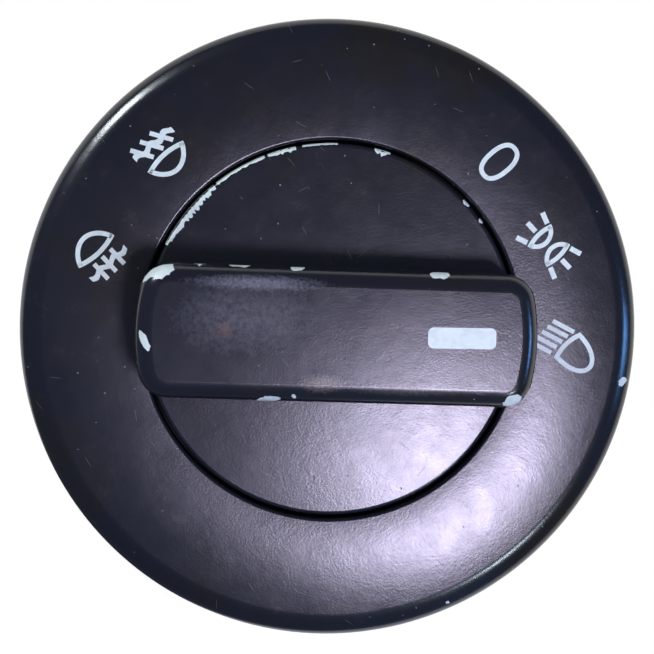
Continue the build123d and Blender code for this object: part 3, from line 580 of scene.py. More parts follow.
@dataclass(frozen=True)
class StampedMetal(Finish):
    """Rolled strip or drawn wire: metal with fine draw lines one way and duller patches where it has aged."""

    colour: str
    dull_colour: str
    roughness: float
    # real draw lines are about 0.02 mm apart, too fine to show, so they are drawn 0.1 mm apart
    line_mm: float = 0.1

    def material(self) -> bpy.types.Material:
        """Makes the metal's material.

        Returns:
            Metal whose draw lines run front to back.
        """
        shading = Shading(self.name)
        tree = shading.tree
        along = add_node(tree, "ShaderNodeMapping", {"Vector": shading.place, "Scale": (1.0, 0.05, 1.0)})
        drawn = {"Vector": along, "Scale": per_mm(self.line_mm), "Detail": 1.0}
        lines = add_node(tree, "ShaderNodeTexNoise", drawn)
        _, colour = shading.clouds((self.colour, self.dull_colour), 1.6, 4.0, (0.45, 0.75))
        sheen = {"Value": lines, "From Min": 0.3, "From Max": 0.7}
        sheen |= {"To Min": self.roughness - 0.06, "To Max": self.roughness + 0.1}
        roughness = add_node(tree, "ShaderNodeMapRange", sheen)
        normal = add_node(tree, "ShaderNodeBump", {"Height": lines, "Distance": 0.002 * MM})
        values = {"Base Color": colour, "Metallic": 1.0, "Roughness": roughness, "Normal": normal}
        return shading.finish(values)


@dataclass(frozen=True)
class ClearAcrylic(Finish):
    """Clear moulded acrylic: nearly smooth, with faint flow waves that bend what shows through."""

    colour: str = "#eef4f8"

    def material(self) -> bpy.types.Material:
        """Makes the acrylic's material.

        Returns:
            Clear plastic that light passes through.
        """
        shading = Shading(self.name)
        values = {"Base Color": linear(self.colour), "Transmission Weight": 1.0, "Roughness": 0.06}
        return shading.finish(values | {"IOR": 1.49, "Normal": shading.relief(2.5, 2.0, 0.006)})


@dataclass(frozen=True)
class SolderMask(Finish):
    """Glass-epoxy board under green solder mask: glossy skin over tracks that show as paler raised lines."""

    colour: str = "#17502f"
    track_colour: str = "#3a7a42"
    track_pitch_mm: float = 1.9

    def material(self) -> bpy.types.Material:
        """Makes the board's material.

        Returns:
            Green board with its tracks.
        """
        shading = Shading(self.name)
        tree = shading.tree
        across = {"Vector": shading.place, "Scale": per_mm(self.track_pitch_mm)}
        edge = add_node(tree, "ShaderNodeTexVoronoi", across, "Distance", feature="DISTANCE_TO_EDGE")
        track = add_node(tree, "ShaderNodeMapRange", {"Value": edge, "From Min": 0.1, "From Max": 0.07})
        tones = {0: track, 6: linear(self.colour), 7: linear(self.track_colour)}
        colour = add_node(tree, "ShaderNodeMix", tones, 2, data_type="RGBA")
        normal = add_node(tree, "ShaderNodeBump", {"Height": track, "Distance": 0.02 * MM})
        return shading.finish({"Base Color": colour, "Roughness": 0.28, "Normal": normal, "IOR": 1.5})


@dataclass(frozen=True)
class LampPackage(Finish):
    """White moulded lamp package with a cast resin lens: the lens's tint starts where the package ends."""

    lens_colour: str
    package_colour: str = "#e6e3d8"
    lens_mm: float = 0.2

    def material(self) -> bpy.types.Material:
        """Makes the lamp's material.

        Returns:
            White plastic with a tinted lens in front.
        """
        shading = Shading(self.name)
        tree = shading.tree
        package_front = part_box("off_led")[0][1] + self.lens_mm * MM
        depth = add_node(tree, "ShaderNodeSeparateXYZ", {0: shading.place}, "Y")
        edge = {"Value": depth, "From Min": package_front + 0.01 * MM}
        edge["From Max"] = package_front - 0.03 * MM
        lens = add_node(tree, "ShaderNodeMapRange", edge)
        tones = {0: lens, 6: linear(self.package_colour), 7: linear(self.lens_colour)}
        colour = add_node(tree, "ShaderNodeMix", tones, 2, data_type="RGBA")
        normal = shading.relief(0.3, 2.0, 0.003)
        return shading.finish({"Base Color": colour, "Roughness": 0.3, "Normal": normal, "IOR": 1.5})


@dataclass(frozen=True)
class Wardrobe:
    """The finish of every material slot of the frame."""

    # a stain, grime and wear on the grip bar; two of the pale patches are partly painted highlight
    bar_wear_and_highlights: tuple[Patch, ...] = (
        Patch((-12.4, 0.45), (2.0, 2.0), "#63402a", 0.8, 0.8),
        # pale lavender mottle over the bar's upper left: partly worn paint, partly a painted highlight
        Patch((-10.5, 1.8), (13.0, 7.0), "#8f8d99", 0.5, 0.3),
        Patch((-1.5, -5.2), (4.5, 1.8), "#8b7d72", 0.35, 0.7),
        Patch((8.0, -5.6), (12.0, 1.2), "#6d655e", 0.35, 0.5),
        # pale lavender-grey strip along the bar's upper edge: partly worn paint, partly a painted highlight
        Patch((-9.0, 5.6), (13.0, 1.5), "#9c9ba6", 0.3, 0.6),
    )

    def finishes(self) -> dict[str, Finish]:
        """Chooses the finishes.

        Returns:
            The finish of each slot by the slot's name.
        """
        return {
            "painted_knob": SoftGlossPaint("soft_gloss_paint_on_knob", patches=self.bar_wear_and_highlights),
            "painted_bezel": SoftGlossPaint("soft_gloss_paint_on_bezel"),
            "black_housing": MouldedPlastic(
                "spark_textured_black_nylon", "#1b1b1d", "#242427", 0.55, 0.25, 0.02
            ),
            "clear_guide": ClearAcrylic("clear_moulded_acrylic"),
            "circuit_board": SolderMask("green_solder_mask"),
            "white_lamp": LampPackage("white_lamp_package", "#eee09a"),
            "green_lamp": LampPackage("green_lamp_package", "#5cb56c"),
            "amber_lamp": LampPackage("amber_lamp_package", "#df9a36"),
            "tinned_brass": StampedMetal("tinned_brass_strip", "#c9c6bb", "#a9a493", 0.3),
            "copper_track": StampedMetal("etched_copper_track", "#c98a5e", "#a2663f", 0.34),
            "spring_bronze": StampedMetal("rolled_spring_bronze", "#bd9258", "#8f6a3c", 0.28),
            "spring_steel": StampedMetal("drawn_spring_steel", "#a7a8aa", "#7d7d7c", 0.25),
            "natural_acetal": MouldedPlastic(
                "natural_moulded_acetal", "#dedcd2", "#d3d0c3", 0.42, 0.5, 0.006
            ),
            "black_acetal": MouldedPlastic("black_moulded_acetal", "#141416", "#1c1c1f", 0.6, 0.5, 0.006),
            "grey_shaft": MouldedPlastic("grey_glass_filled_nylon", "#808184", "#6f7074", 0.5, 0.3, 0.012),
        }

    def dress(self) -> None:
        """Gives every node of the frame the material of its slot."""
        made = {slot: finish.material() for slot, finish in self.finishes().items()}
        for part in frame["record"]["subparts"]:
            node = frame["nodes"][part["node"]]
            node.data.materials.clear()
            node.data.materials.append(made[part["material_slot"]])
            log.info("%s: %s", part["node"], made[part["material_slot"]].name)


@dataclass(frozen=True)
class BezelMoulding:
    """The bezel as the photograph shows it: a nearly flat face, a softly folded rim and a sloping side.

    Places are radius and height in millimetres, height measured from the panel toward the eye.
    """

    bore: float = 21.95
    skirt_end: float = 2.6
    lip_height: float = 5.4
    fold: Point = (33.85, 5.4)
    shoulder: Point = (36.0, 4.3)
    wall: float = 1.5
    underside: float = 4.1
    # the inside turns down to the wall this far inside the fold and below the shoulder
    inner_fold: float = 0.9
    inner_drop: float = 1.2
    leg_overlap: float = 0.15
    lip_round: float = 0.4
    fold_round: float = 0.7
    shoulder_round: float = 1.2
    steps: int = 192
    # the snap legs stand between these radii
    legs: Point = (24.4, 30.0)

    def section(self) -> tuple[Point, ...]:
        """Draws the moulding's section.

        Returns:
            Its corners, the three rounded ones first.
        """
        outer = self.shoulder[0]
        return (
            (self.bore, self.lip_height),
            self.fold,
            self.shoulder,
            (outer, 0.0),
            (outer - self.wall, 0.0),
            (outer - self.wall, self.shoulder[1] - self.inner_drop),
            (self.fold[0] - self.inner_fold, self.underside),
            (self.bore + self.wall, self.underside),
            (self.bore + self.wall, self.skirt_end),
            (self.bore, self.skirt_end),
        )

    def ring(self) -> Mesh:
        """Spins the section round the switch's axis.

        Returns:
            The closed ring.
        """
        corners = self.section()
        count = len(corners)
        bpy.ops.mesh.primitive_circle_add(vertices=count, radius=MM, fill_type="NGON", location=(0, 0, 0))
        ring = bpy.context.active_object
        for vertex, (radius, height) in zip(ring.data.vertices, corners):
            vertex.co = Vector((radius, -height, 0.0)) * MM
        for corner, amount in zip(corners, (self.lip_round, self.fold_round, self.shoulder_round)):
            place = Vector((corner[0], -corner[1], 0.0)) * MM
            with editing(ring):
                bpy.ops.mesh.select_all(action="DESELECT")
                outline = bmesh.from_edit_mesh(ring.data)
                nearest = min(outline.verts, key=lambda vertex: (vertex.co - place).length)
                nearest.select_set(True)
                bpy.ops.mesh.bevel(offset=amount * MM, segments=6, affect="VERTICES")
        with editing(ring):
            bpy.ops.mesh.delete(type="ONLY_FACE")
            bpy.ops.mesh.select_all(action="SELECT")
            bpy.ops.mesh.spin(steps=self.steps, angle=2 * pi, center=(0, 0, 0), axis=(0, 1, 0))
            bpy.ops.mesh.select_all(action="SELECT")
            bpy.ops.mesh.remove_doubles(threshold=0.002 * MM)
            bpy.ops.mesh.normals_make_consistent(inside=False)
        return ring

    def snap_legs(self) -> Mesh:
        """Takes the four snap legs from a copy of the CAD bezel.

        Returns:
            The legs, which end inside the ring's wall.
        """
        legs = frame["nodes"]["bezel"].copy()
        legs.data = legs.data.copy()
        bpy.context.scene.collection.objects.link(legs)
        cut = -(self.underside + self.leg_overlap) * MM
        with editing(legs):
            bpy.ops.mesh.remove_doubles(threshold=0.002 * MM)
            bpy.ops.mesh.bisect(plane_co=(0, cut, 0), plane_no=(0, -1, 0), use_fill=True, clear_outer=True)
            bpy.ops.mesh.select_all(action="DESELECT")
            moulding = bmesh.from_edit_mesh(legs.data)
            for vertex in moulding.verts:
                radius = hypot(vertex.co.x, vertex.co.z)
                vertex.select_set(not self.legs[0] * MM < radius < self.legs[1] * MM)
            bpy.ops.mesh.delete(type="VERT")
        return legs

    def build(self, finish: bpy.types.Material) -> Mesh:
        """Makes the bezel, which stands for the CAD node.

        Args:
            finish: the paint.

        Returns:
            The bezel, for the pieces that it carries.
        """
        parts = [self.ring(), self.snap_legs()]
        bezel = fasten(parts, "bezel_moulding", Body.HOUSING, finish)
        activate(bezel)
        bpy.ops.object.shade_smooth_by_angle(angle=radians(35))
        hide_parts("bezel")
        return bezel


@dataclass(frozen=True)
class Stroke:
    """Straight stroke of a printed symbol, in millimetres from the symbol's middle."""

    start: Point
    end: Point
    width: float = 0.52
    raised: float = 0.0

    def build(self) -> Mesh:
        """Makes the stroke.

        Returns:
            A flat strip.
        """
        run = (self.end[0] - self.start[0], self.end[1] - self.start[1])
        bpy.ops.mesh.primitive_plane_add(size=1.0, location=(0, 0, 0))
        piece = bpy.context.active_object
        with editing(piece):
            bpy.ops.transform.resize(value=(hypot(*run) * MM, self.width * MM, 1.0))
            bpy.ops.mesh.subdivide(number_cuts=4)
        middle = Vector((self.start[0] + run[0] / 2, self.start[1] + run[1] / 2, 0)) * MM
        settle(piece, Matrix.Translation(middle) @ Matrix.Rotation(atan2(run[1], run[0]), 4, "Z"))
        return piece


@dataclass(frozen=True)
class Outline:
    """Closed outline of a printed symbol, made from a ring that is pulled to shape and given a stroke."""

    centre: Point
    shape: Callable[[float], Point]
    width: float = 0.54
    points: int = 72
    raised: float = 0.0

    def build(self) -> Mesh:
        """Makes the outline.

        Returns:
            A flat band.
        """
        rim = {"vertices": self.points, "radius": MM, "fill_type": "NGON"}
        bpy.ops.mesh.primitive_circle_add(**rim, location=(0, 0, 0))
        piece = bpy.context.active_object
        for vertex in piece.data.vertices:
            x, y = self.shape(atan2(vertex.co.y, vertex.co.x))
            vertex.co.x, vertex.co.y = (self.centre[0] + x) * MM, (self.centre[1] + y) * MM
        with editing(piece):
            bpy.ops.mesh.inset(thickness=self.width * MM, use_even_offset=True)
            bpy.ops.mesh.delete(type="FACE")
        return piece


@dataclass(frozen=True)
class Wave:
    """Upright wavy stroke of a fog-lamp symbol, in millimetres from the symbol's middle."""

    middle: float
    low: float
    high: float
    pitch: float
    swing: float
    phase: float
    width: float = 0.55
    raised: float = 0.012
    cuts: int = 39

    def build(self) -> Mesh:
        """Makes the wavy stroke.

        Returns:
            A flat strip.
        """
        cuts = {"x_subdivisions": 1, "y_subdivisions": self.cuts}
        bpy.ops.mesh.primitive_grid_add(**cuts, size=1.0, location=(0, 0, 0))
        piece = bpy.context.active_object
        for vertex in piece.data.vertices:
            height = self.low + (vertex.co.y + 0.5) * (self.high - self.low)
            shift = self.swing * sin(2 * pi * height / self.pitch + self.phase)
            vertex.co.x = (self.middle + shift + vertex.co.x * self.width) * MM
            vertex.co.y = height * MM
        return piece


def lamp_shape(half_height: float, bulge: float, bow: float, fullness: float) -> Callable[[float], Point]:
    """Makes the shape of a lamp symbol: a slightly bowed glass and a bulging back.

    Args:
        half_height: half the glass's height.
        bulge: depth of the back, negative if it points left.
        bow: how far the glass bows out on the other side.
        fullness: 1 for a pointed back, 0.5 for a round one.

    Returns:
        Function that gives the outline's point at an angle.
    """
    side = 1 if bulge > 0 else -1

    def point(angle: float) -> Point:
        """Gives the outline's point, always in the same turning direction.

        Args:
            angle: the point's angle in radians.

        Returns:
            The point, in millimetres.
        """
        toward_back = side * cos(angle)
        depth = cos(angle) ** 2
        x = abs(bulge) * depth**fullness if toward_back > 0 else -bow * depth
        return (side * x, half_height * sin(angle))

    return point


def zero_shape(half_width: float, half_height: float, squareness: float) -> Callable[[float], Point]:
    """Makes the shape of a printed zero: an oval with flattened sides.

    Args:
        half_width: half the oval's width.
        half_height: half its height.
        squareness: 1 for a true ellipse, less for flatter sides.

    Returns:
        Function that gives the outline's point at an angle.
    """

    def point(angle: float) -> Point:
        """Gives the outline's point.

        Args:
            angle: the point's angle in radians.

        Returns:
            The point, in millimetres.
        """
        across, up = cos(angle), sin(angle)
        x = half_width * abs(across) ** squareness * (1 if across > 0 else -1)
        y = half_height * abs(up) ** squareness * (1 if up > 0 else -1)
        return (x, y)

    return point


@dataclass(frozen=True)
class Symbol:
    """One symbol on the bezel: its place and its strokes, with a turn in degrees if it stands askew."""

    name: str
    place: Point
    strokes: tuple[Stroke | Outline | Wave, ...]
    turn: float = 0.0
    # it starts this far in front of the bezel and is then brought straight back
    start_gap: float = 5.0

    def build(self, bezel: Mesh, finish: bpy.types.Material) -> None:
        """Makes the symbol as a thin layer on the bezel.

        Args:
            bezel: the piece that carries it.
            finish: material of the bare plastic.
        """
        in_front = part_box("bezel")[0][1] - self.start_gap * MM
        parts = []
        for stroke in self.strokes:
            part = stroke.build()
            settle(part, TO_FACE @ Matrix.Rotation(radians(self.turn), 4, "Z"))
            settle(part, Matrix.Translation((self.place[0] * MM, in_front, self.place[1] * MM)))
            ThinLayer(lift=0.03 + stroke.raised).lay(part, bezel, Grip.STRAIGHT_BACK)
            parts.append(part)
        fasten(parts, self.name, Body.HOUSING, finish)


@dataclass(frozen=True)
class BezelPrint:
    """The five symbols round the bezel, where the paint is cut away so that the lamps shine through."""

    fog_pitch: float = 2.08

    def off(self) -> Symbol:
        """Gives the zero of the off position."""
        zero = Outline((0, 0), zero_shape(1.62, 2.62, 0.85))
        return Symbol("off_symbol", (-0.74, 27.5), (zero,), -3.5)

    def side_lights(self) -> Symbol:
        """Draws the side lights.

        Returns:
            Two small lamps with three rays each.
        """
        strokes: list[Stroke | Outline | Wave] = []
        rays = (((2.25, 0.0), (3.65, 0.0)), ((1.98, 1.62), (3.3, 2.08)), ((1.98, -1.6), (3.3, -2.1)))
        for side in (-1, 1):
            strokes.append(Outline((side * 1.65, 0.02), lamp_shape(1.88, -side * 1.46, 0.34, 0.62), 0.52))
            for (x0, z0), (x1, z1) in rays:
                strokes.append(Stroke((side * x0, z0), (side * x1, z1), 0.6))
        return Symbol("side_light_symbol", (10.32, 25.07), tuple(strokes))

    def low_beam(self) -> Symbol:
        """Draws the low beam.

        Returns:
            Headlamp with five lines slanted down.
        """
        lamp = Outline((0.1, 0.32), lamp_shape(2.12, 4.05, 0.42, 0.42))
        lines = [
            Stroke((-3.1, 1.01 - 0.88 * row), (-0.42 - 0.12 * min(row, 1), 1.93 - 0.9 * row), 0.52)
            for row in range(5)
        ]
        return Symbol("low_beam_symbol", (20.16, 18.42), (lamp, *lines))

    def front_fog(self) -> Symbol:
        """Draws the front fog lamp.

        Returns:
            Lamp with three slanted lines and a wave.
        """
        lamp = Outline((0.88, 0.27), lamp_shape(2.7, 2.3, 0.5, 0.7))
        lines = [Stroke((-2.25, 0.72 - 1.48 * row), (0.1, 2.2 - 1.48 * row)) for row in range(3)]
        wave = Wave(-1.05, -2.6, 3.0, self.fog_pitch, 0.24, -1.3, 0.72)
        return Symbol("front_fog_symbol", (-28.51, -0.3), (lamp, *lines, wave), -1.7)

    def rear_fog(self) -> Symbol:
        """Draws the rear fog lamp.

        Returns:
            Lamp with three level lines and a wave.
        """
        lamp = Outline((-0.75, 0.02), lamp_shape(2.75, -2.4, 0.5, 0.7))
        lines = [Stroke((0.05, 1.38 - 1.27 * row), (2.4, 1.38 - 1.27 * row)) for row in range(3)]
        wave = Wave(1.15, -2.65, 2.8, self.fog_pitch, 0.22, 1.51, 0.66)
        return Symbol("rear_fog_symbol", (-24.37, -13.28), (lamp, *lines, wave), -0.6)

    def build(self, bezel: Mesh, finish: bpy.types.Material) -> None:
        """Makes all the symbols.

        Args:
            bezel: the piece that carries them.
            finish: material of the bare plastic.
        """
        for symbol in (self.off(), self.side_lights(), self.low_beam(), self.front_fog(), self.rear_fog()):
            symbol.build(bezel, finish)


@dataclass(frozen=True)
class Pointer:
    """White rounded pointer on the bar's top."""

    along: float = 13.55
    across: float = 0.25
    length: float = 7.5
    width: float = 2.3
    corner: float = 0.6
    turn: float = 0.8
    # it starts this far in front of the bar and is then brought straight back
    start_gap: float = 3.0

    def build(self, finish: bpy.types.Material) -> None:
        """Makes the pointer as a thin layer on the bar.

        Args:
            finish: material of the bare plastic.
        """
        bpy.ops.mesh.primitive_plane_add(size=1.0, location=(0, 0, 0))
        piece = bpy.context.active_object
        with editing(piece):
            bpy.ops.transform.resize(value=(self.length * MM, self.width * MM, 1.0))
            bpy.ops.mesh.bevel(offset=self.corner * MM, segments=6, affect="VERTICES")
        settle(piece, TO_FACE @ Matrix.Rotation(radians(BAR_ANGLE + self.turn), 4, "Z"))
        in_front = GripBar().spot(self.along, self.across) - Vector((0, self.start_gap * MM, 0))
        settle(piece, Matrix.Translation(in_front))
        ThinLayer().lay(piece, frame["nodes"]["knob"], Grip.STRAIGHT_BACK)
        fasten([piece], "bar_pointer", Body.KNOB, finish)


@dataclass(frozen=True)
class Chip:
    """Ragged spot where the paint is knocked off, drawn as the eye sees it.

    The outline's points are in millimetres on a plane through the carrier's top, along and across from
    the place.
    """

    place: Point
    outline: tuple[Point, ...]
    seed: int
    ragged: float = 0.05
    steps: int = 5
    reach: float = 1.1

    def rim(self) -> list[Point]:
        """Roughens the outline.

        Returns:
            The outline with more points and a ragged edge.
        """
        draw = random.Random(self.seed)
        rim = []
        for index, (x0, y0) in enumerate(self.outline):
            x1, y1 = self.outline[(index + 1) % len(self.outline)]
            for step in range(self.steps):
                share = step / self.steps
                x = x0 + (x1 - x0) * share + draw.uniform(-1, 1) * self.ragged
                y = y0 + (y1 - y0) * share + draw.uniform(-1, 1) * self.ragged
                rim.append((x, y))
        return rim

    def build(self, carrier: Mesh, eye: Vector, middle: Vector, turn: float) -> Mesh:
        """Makes the chip on the carrier's surface.

        Args:
            carrier: the painted piece.
            eye: the point that the chip is seen from.
            middle: point of the frame for the chip's place, on a plane through the carrier's top.
            turn: direction of the outline's first axis in the face, in degrees.

        Returns:
            The chip as a thin closed layer.
        """
        rim = self.rim()
        count = len(rim)
        fan = {"vertices": count, "radius": 1.0, "fill_type": "TRIFAN"}
        bpy.ops.mesh.primitive_circle_add(**fan, location=(0, 0, 0))
        piece = bpy.context.active_object
        vertices = sorted(piece.data.vertices, key=lambda vertex: -vertex.co.length)
        for vertex in vertices[:count]:
            index = round(atan2(vertex.co.y, vertex.co.x) / (2 * pi) * count) % count
            vertex.co.x, vertex.co.y = rim[index][0] * MM, rim[index][1] * MM
        centre = vertices[-1]
        centre.co.x = sum(point[0] for point in rim) / count * MM
        centre.co.y = sum(point[1] for point in rim) / count * MM
        with editing(piece):
            bpy.ops.mesh.subdivide(number_cuts=3)
        settle(piece, Matrix.Translation(middle) @ TO_FACE @ Matrix.Rotation(radians(turn), 4, "Z"))
        faces = [tuple(face.vertices) for face in carrier.data.polygons]
        tree = BVHTree.FromPolygons([vertex.co for vertex in carrier.data.vertices], faces)
        hits = [tree.ray_cast(eye, (vertex.co - eye).normalized())[0] for vertex in piece.data.vertices]
        depth = min((hit.y for hit in hits if hit), default=middle.y) + self.reach * MM
        for vertex, hit in zip(piece.data.vertices, hits):
            if hit is None or hit.y > depth:
                line = vertex.co - eye
                hit = tree.find_nearest(eye + line * (depth - eye.y) / line.y)[0]
            vertex.co = hit
        ThinLayer().lay(piece, carrier, Grip.AS_PLACED)
        return piece


def spot_outline(length: float, width: float, turn: float) -> tuple[Point, ...]:
    """Gives the outline of a plain long chip.

    Args:
        length: the chip's length in millimetres.
        width: its width.
        turn: the long axis's angle in degrees.

    Returns:
        Outline points round the chip's middle.
    """
    corners = ((-0.5, 0.0), (-0.28, -0.42), (0.2, -0.5), (0.5, -0.1), (0.3, 0.4), (-0.15, 0.5))
    cosine, sine = cos(radians(turn)), sin(radians(turn))
    scaled = [(x * length, y * width) for x, y in corners]
    return tuple((x * cosine - y * sine, x * sine + y * cosine) for x, y in scaled)


@dataclass(frozen=True)
class RimWear:
    """Ragged arc of bared plastic along the dial's edge.

    Angles are in degrees from the bar's direction, widths in millimetres at the start, middle and end.
    """

    start: float
    end: float
    widths: tuple[float, float, float]
    seed: int
    steps_per_degree: float = 1.6
    over_edge: float = 0.35

    def width_at(self, share: float, draw: random.Random) -> float:
        """Gives the worn width at a share of the arc, with a ragged edge.

        Args:
            share: 0 at the arc's start and 1 at its end.
            draw: source of the raggedness.

        Returns:
            The width in millimetres.
        """
        first, middle, last = self.widths
        if share < 0.5:
            base = first + (middle - first) * 2 * share
        else:
            base = middle + (last - middle) * (2 * share - 1)
        return max(0.04, base * draw.uniform(0.6, 1.2))

    def build(self, carrier: Mesh, radius: float, height: float) -> Mesh:
        """Makes the arc on the dial's edge.

        Args:
            carrier: the knob.
            radius: the dial's radius in millimetres.
            height: Y of the dial's face.

        Returns:
            The arc as a thin closed layer.
        """
        steps = max(6, int(abs(self.end - self.start) * self.steps_per_degree))
        first = radians(self.start + BAR_ANGLE)
        sweep = radians(self.end - self.start)
        draw = random.Random(self.seed)
        cuts = {"x_subdivisions": 3, "y_subdivisions": steps}
        bpy.ops.mesh.primitive_grid_add(**cuts, size=1.0, location=(0, 0, 0))
        piece = bpy.context.active_object
        widths = [self.width_at(step / steps, draw) for step in range(steps + 1)]
        for vertex in piece.data.vertices:
            share = vertex.co.y + 0.5
            reach = (radius - (vertex.co.x + 0.5) * widths[round(share * steps)]) * MM
            angle = first + sweep * share
            over_edge = self.over_edge * MM if vertex.co.x < -0.4 else 0.0
            vertex.co = Vector((reach * cos(angle), height + over_edge, reach * sin(angle)))
        if sum(face.normal.y for face in piece.data.polygons) > 0:
            piece.data.flip_normals()
        ThinLayer().lay(piece, carrier, Grip.NEAREST)
        return piece


# outline of the biggest chip, at the bar's upper left corner
BAR_CORNER_CHIP: tuple[Point, ...] = (
    (-1.6, -0.2), (-1.2, -1.2), (0.0, -0.5), (0.9, -0.9), (2.2, 0.3), (2.1, 1.2), (0.6, 1.25), (-0.9, 0.8)
)


@dataclass(frozen=True)
class PaintWear:
    """Every place where the paint has gone."""

    eye: Vector
    dial_radius: float = 21.6
    dial_height: float = 5.2
    bar_chips: tuple[Chip, ...] = (
        Chip((-20.3, 6.4), BAR_CORNER_CHIP, 3, 0.12),
        Chip((-21.0, -1.06), spot_outline(2.7, 0.8, -64), 5, 0.04),
        Chip((-15.3, 7.45), ((-0.6, 0.25), (0.0, -0.3), (0.6, 0.25)), 7, 0.03),
        Chip((-11.0, 7.45), spot_outline(2.6, 0.45, 0), 11, 0.04),
        Chip((-4.7, 7.35), spot_outline(1.7, 0.65, 5), 13, 0.04),
        Chip((10.8, 7.1), spot_outline(2.4, 0.9, 0), 17, 0.06),
        Chip((-7.4, -7.0), spot_outline(2.8, 0.65, 6), 19, 0.05),
        Chip((-4.65, -6.6), spot_outline(0.6, 0.4, -40), 23, 0.03),
        Chip((19.3, -6.4), spot_outline(2.4, 1.1, 25), 29, 0.07),
        Chip((21.2, -5.6), spot_outline(1.3, 0.3, 60), 31, 0.03),
    )
    rim_arcs: tuple[RimWear, ...] = (
        RimWear(154.5, 131.0, (0.45, 1.0, 0.6), 41),
        RimWear(130.0, 113.0, (0.45, 0.35, 0.45), 43),
        RimWear(112.0, 103.0, (0.4, 0.7, 0.4), 47),
        RimWear(101.0, 90.0, (0.2, 0.2, 0.15), 53),
        RimWear(78.5, 73.5, (0.3, 0.7, 0.2), 59),
        RimWear(46.5, 43.8, (0.2, 0.5, 0.2), 61),
        RimWear(38.8, 37.2, (0.15, 0.4, 0.15), 67),
    )
    # place is the radius and the angle on the face
    bezel_chips: tuple[Chip, ...] = (
        Chip((34.7, 36.3), spot_outline(1.4, 0.8, 60), 71, 0.05),
        Chip((34.8, -20.4), spot_outline(0.5, 0.3, 10), 73, 0.03),
    )

    def build(self, bezel: Mesh, finish: bpy.types.Material) -> None:
        """Makes the chips of the bar, the dial's edge and the bezel.

        Args:
            bezel: the painted bezel.
            finish: material of the bare plastic.
        """
        knob = frame["nodes"]["knob"]
        bar = GripBar()
        chips = [chip.build(knob, self.eye, bar.spot(*chip.place), BAR_ANGLE) for chip in self.bar_chips]
        fasten(chips, "bar_paint_chips", Body.KNOB, finish)
        arcs = [arc.build(knob, self.dial_radius, -self.dial_height * MM) for arc in self.rim_arcs]
        fasten(arcs, "dial_rim_wear", Body.KNOB, finish)
        chips = []
        for chip in self.bezel_chips:
            radius, angle = chip.place[0] * MM, radians(chip.place[1])
            middle = Vector((radius * cos(angle), -self.dial_height * MM, radius * sin(angle)))
            chips.append(chip.build(bezel, self.eye, middle, BAR_ANGLE))
        fasten(chips, "bezel_paint_chips", Body.HOUSING, finish)


@dataclass(frozen=True)
class Lamp:
    """Square soft lamp.

    Its place is right and up in the photograph's plane and out from the face, in millimetres.
    """

    name: str
    place: tuple[float, float, float]
    size: float
    power: float
    colour: str


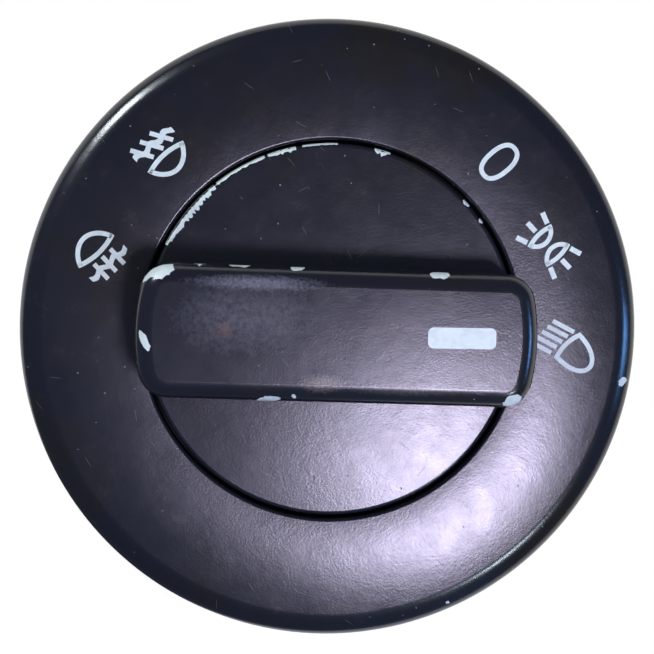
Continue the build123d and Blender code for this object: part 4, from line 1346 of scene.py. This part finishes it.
@dataclass(frozen=True)
class Studio:
    """Floor, lamps, surrounding light and the camera at the photograph's viewing angle."""

    distance: float = 200.0
    photo_width: float = 75.75
    from_left: float = 3.6
    from_above: float = 3.3
    roll: float = 46.5
    aim: Point = (-0.5, 0.37)
    face_height: float = 5.0
    sensor: float = 36.0
    surround_colour: str = "#b9c2e0"
    surround_strength: float = 0.25
    floor_colour: str = "#dcdcde"
    floor_glow: float = 0.93
    lamps: tuple[Lamp, ...] = (
        Lamp("rim_lamp", (-250.0, 260.0, 190.0), 75.0, 0.85, "#f2fbff"),
        Lamp("sky_lamp", (300.0, -30.0, 140.0), 60.0, 0.3, "#5f93d8"),
        Lamp("sheen_lamp", (52.0, -60.0, 300.0), 46.0, 0.39, "#e6deff"),
        Lamp("window_lamp", (150.0, -190.0, 320.0), 40.0, 0.3, "#e2f4ff"),
    )

    def across(self, right: float, up: float) -> Vector:
        """Turns a direction in the photograph's plane into the frame.

        Args:
            right: share to the right in the photograph.
            up: share upward in the photograph.

        Returns:
            The direction in the frame.
        """
        turn = radians(self.roll)
        return Vector((right * cos(turn) - up * sin(turn), 0.0, right * sin(turn) + up * cos(turn)))

    def target(self) -> Vector:
        """Gives the point that the camera looks at."""
        return Vector((0, -self.face_height * MM, 0)) + self.across(*self.aim) * MM

    def eye(self) -> Vector:
        """Gives the camera's place."""
        side = self.across(-tan(radians(self.from_left)), tan(radians(self.from_above)))
        return self.target() + (side + Vector((0, -1, 0))).normalized() * self.distance * MM

    def camera(self) -> None:
        """Makes the camera, rolled as the photograph is."""
        data = bpy.data.cameras.new("photo_camera")
        data.sensor_width = self.sensor
        data.lens = self.sensor * self.distance / self.photo_width
        data.clip_start = 0.01
        camera = bpy.data.objects.new("photo_camera", data)
        bpy.context.scene.collection.objects.link(camera)
        back = (self.eye() - self.target()).normalized()
        right = self.across(0, 1).cross(back).normalized()
        turned = Matrix((right, back.cross(right), back)).transposed().to_4x4()
        camera.matrix_world = Matrix.Translation(self.eye()) @ turned
        bpy.context.scene.camera = camera

    def light(self, lamp: Lamp) -> None:
        """Makes a lamp that points at the switch.

        Args:
            lamp: its place, size, power and colour.
        """
        data = bpy.data.lights.new(lamp.name, "AREA")
        data.size = lamp.size * MM
        data.energy = lamp.power
        data.color = linear(lamp.colour)[:3]
        light = bpy.data.objects.new(lamp.name, data)
        bpy.context.scene.collection.objects.link(light)
        right, up, out = lamp.place
        place = self.across(right, up) * MM + Vector((0, -(out + self.face_height) * MM, 0))
        turned = (place - self.target()).to_track_quat("Z", "Y").to_matrix().to_4x4()
        light.matrix_world = Matrix.Translation(place) @ turned

    def seen(self, tree: bpy.types.NodeTree, place: Socket) -> Socket:
        """Marks the rays that see the white background: straight, in gloss or through clear plastic.

        Args:
            tree: the world's or the floor's node tree.
            place: a vector whose Y is positive behind the switch's face, where the backdrop stands. The
                room in front of the face stays dim, so the black paint mirrors a dim room.

        Returns:
            Socket that is 1 for those rays.
        """
        straight = add_node(tree, "ShaderNodeLightPath", output="Is Camera Ray")
        paths = straight.node.outputs
        depth = add_node(tree, "ShaderNodeSeparateXYZ", {0: place}, "Y")
        behind = add_node(tree, "ShaderNodeMath", {0: depth, 1: 0.0}, operation="GREATER_THAN")
        glossy = {0: behind, 1: paths["Is Glossy Ray"]}
        gloss = add_node(tree, "ShaderNodeMath", glossy, operation="MULTIPLY")
        seen = straight
        for ray in (gloss, paths["Is Transmission Ray"]):
            seen = add_node(tree, "ShaderNodeMath", {0: seen, 1: ray}, operation="MAXIMUM")
        return seen

    def surround(self) -> None:
        """Makes an even, soft surrounding light with a white background."""
        world = bpy.data.worlds.new("soft_surround")
        world.use_nodes = True
        tree = world.node_tree
        tree.nodes.clear()
        soft = {"Color": linear(self.surround_colour), "Strength": self.surround_strength}
        dim = add_node(tree, "ShaderNodeBackground", soft)
        white = add_node(tree, "ShaderNodeBackground", {"Color": (1, 1, 1, 1), "Strength": 1.0})
        place = add_node(tree, "ShaderNodeTexCoord", output="Generated")
        mixed = add_node(tree, "ShaderNodeMixShader", {0: self.seen(tree, place), 1: dim, 2: white})
        add_node(tree, "ShaderNodeOutputWorld", {"Surface": mixed})
        bpy.context.scene.world = world

    def floor(self) -> None:
        """Makes the pale floor under the switch, which keeps its shadow."""
        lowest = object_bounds()[0][2]
        bpy.ops.object.select_all(action="DESELECT")
        bpy.ops.mesh.primitive_plane_add(size=1.6, location=(0, 0, 0))
        floor = bpy.context.active_object
        floor.name = "floor"
        settle(floor, Matrix.Translation((0, 0, lowest - 0.05 * MM)))
        material = bpy.data.materials.new("matt_white_floor")
        material.use_nodes = True
        tree = material.node_tree
        tree.nodes.clear()
        pale = add_node(tree, "ShaderNodeBsdfDiffuse", {"Color": linear(self.floor_colour)})
        glow = add_node(tree, "ShaderNodeEmission", {"Color": (1, 1, 1, 1), "Strength": self.floor_glow})
        bright = add_node(tree, "ShaderNodeAddShader", {0: pale, 1: glow})
        place = add_node(tree, "ShaderNodeTexCoord", output="Object")
        mixed = add_node(tree, "ShaderNodeMixShader", {0: self.seen(tree, place), 1: pale, 2: bright})
        add_node(tree, "ShaderNodeOutputMaterial", {"Surface": mixed})
        floor.data.materials.append(material)
        floor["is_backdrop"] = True

    def build(self) -> None:
        """Makes the floor, the surrounding light, the lamps and the camera."""
        self.floor()
        self.surround()
        for lamp in self.lamps:
            self.light(lamp)
        self.camera()
        bpy.context.scene.view_settings.view_transform = "Standard"


def main() -> None:
    """Dresses the switch, adds its print and wear, and builds the studio."""
    studio = Studio()
    bare = BarePlastic().material()
    Wardrobe().dress()
    bezel = BezelMoulding().build(frame["nodes"]["bezel"].data.materials[0])
    BezelPrint().build(bezel, bare)
    Pointer().build(bare)
    PaintWear(studio.eye()).build(bezel, bare)
    studio.build()


if __name__ == "__main__":
    main()
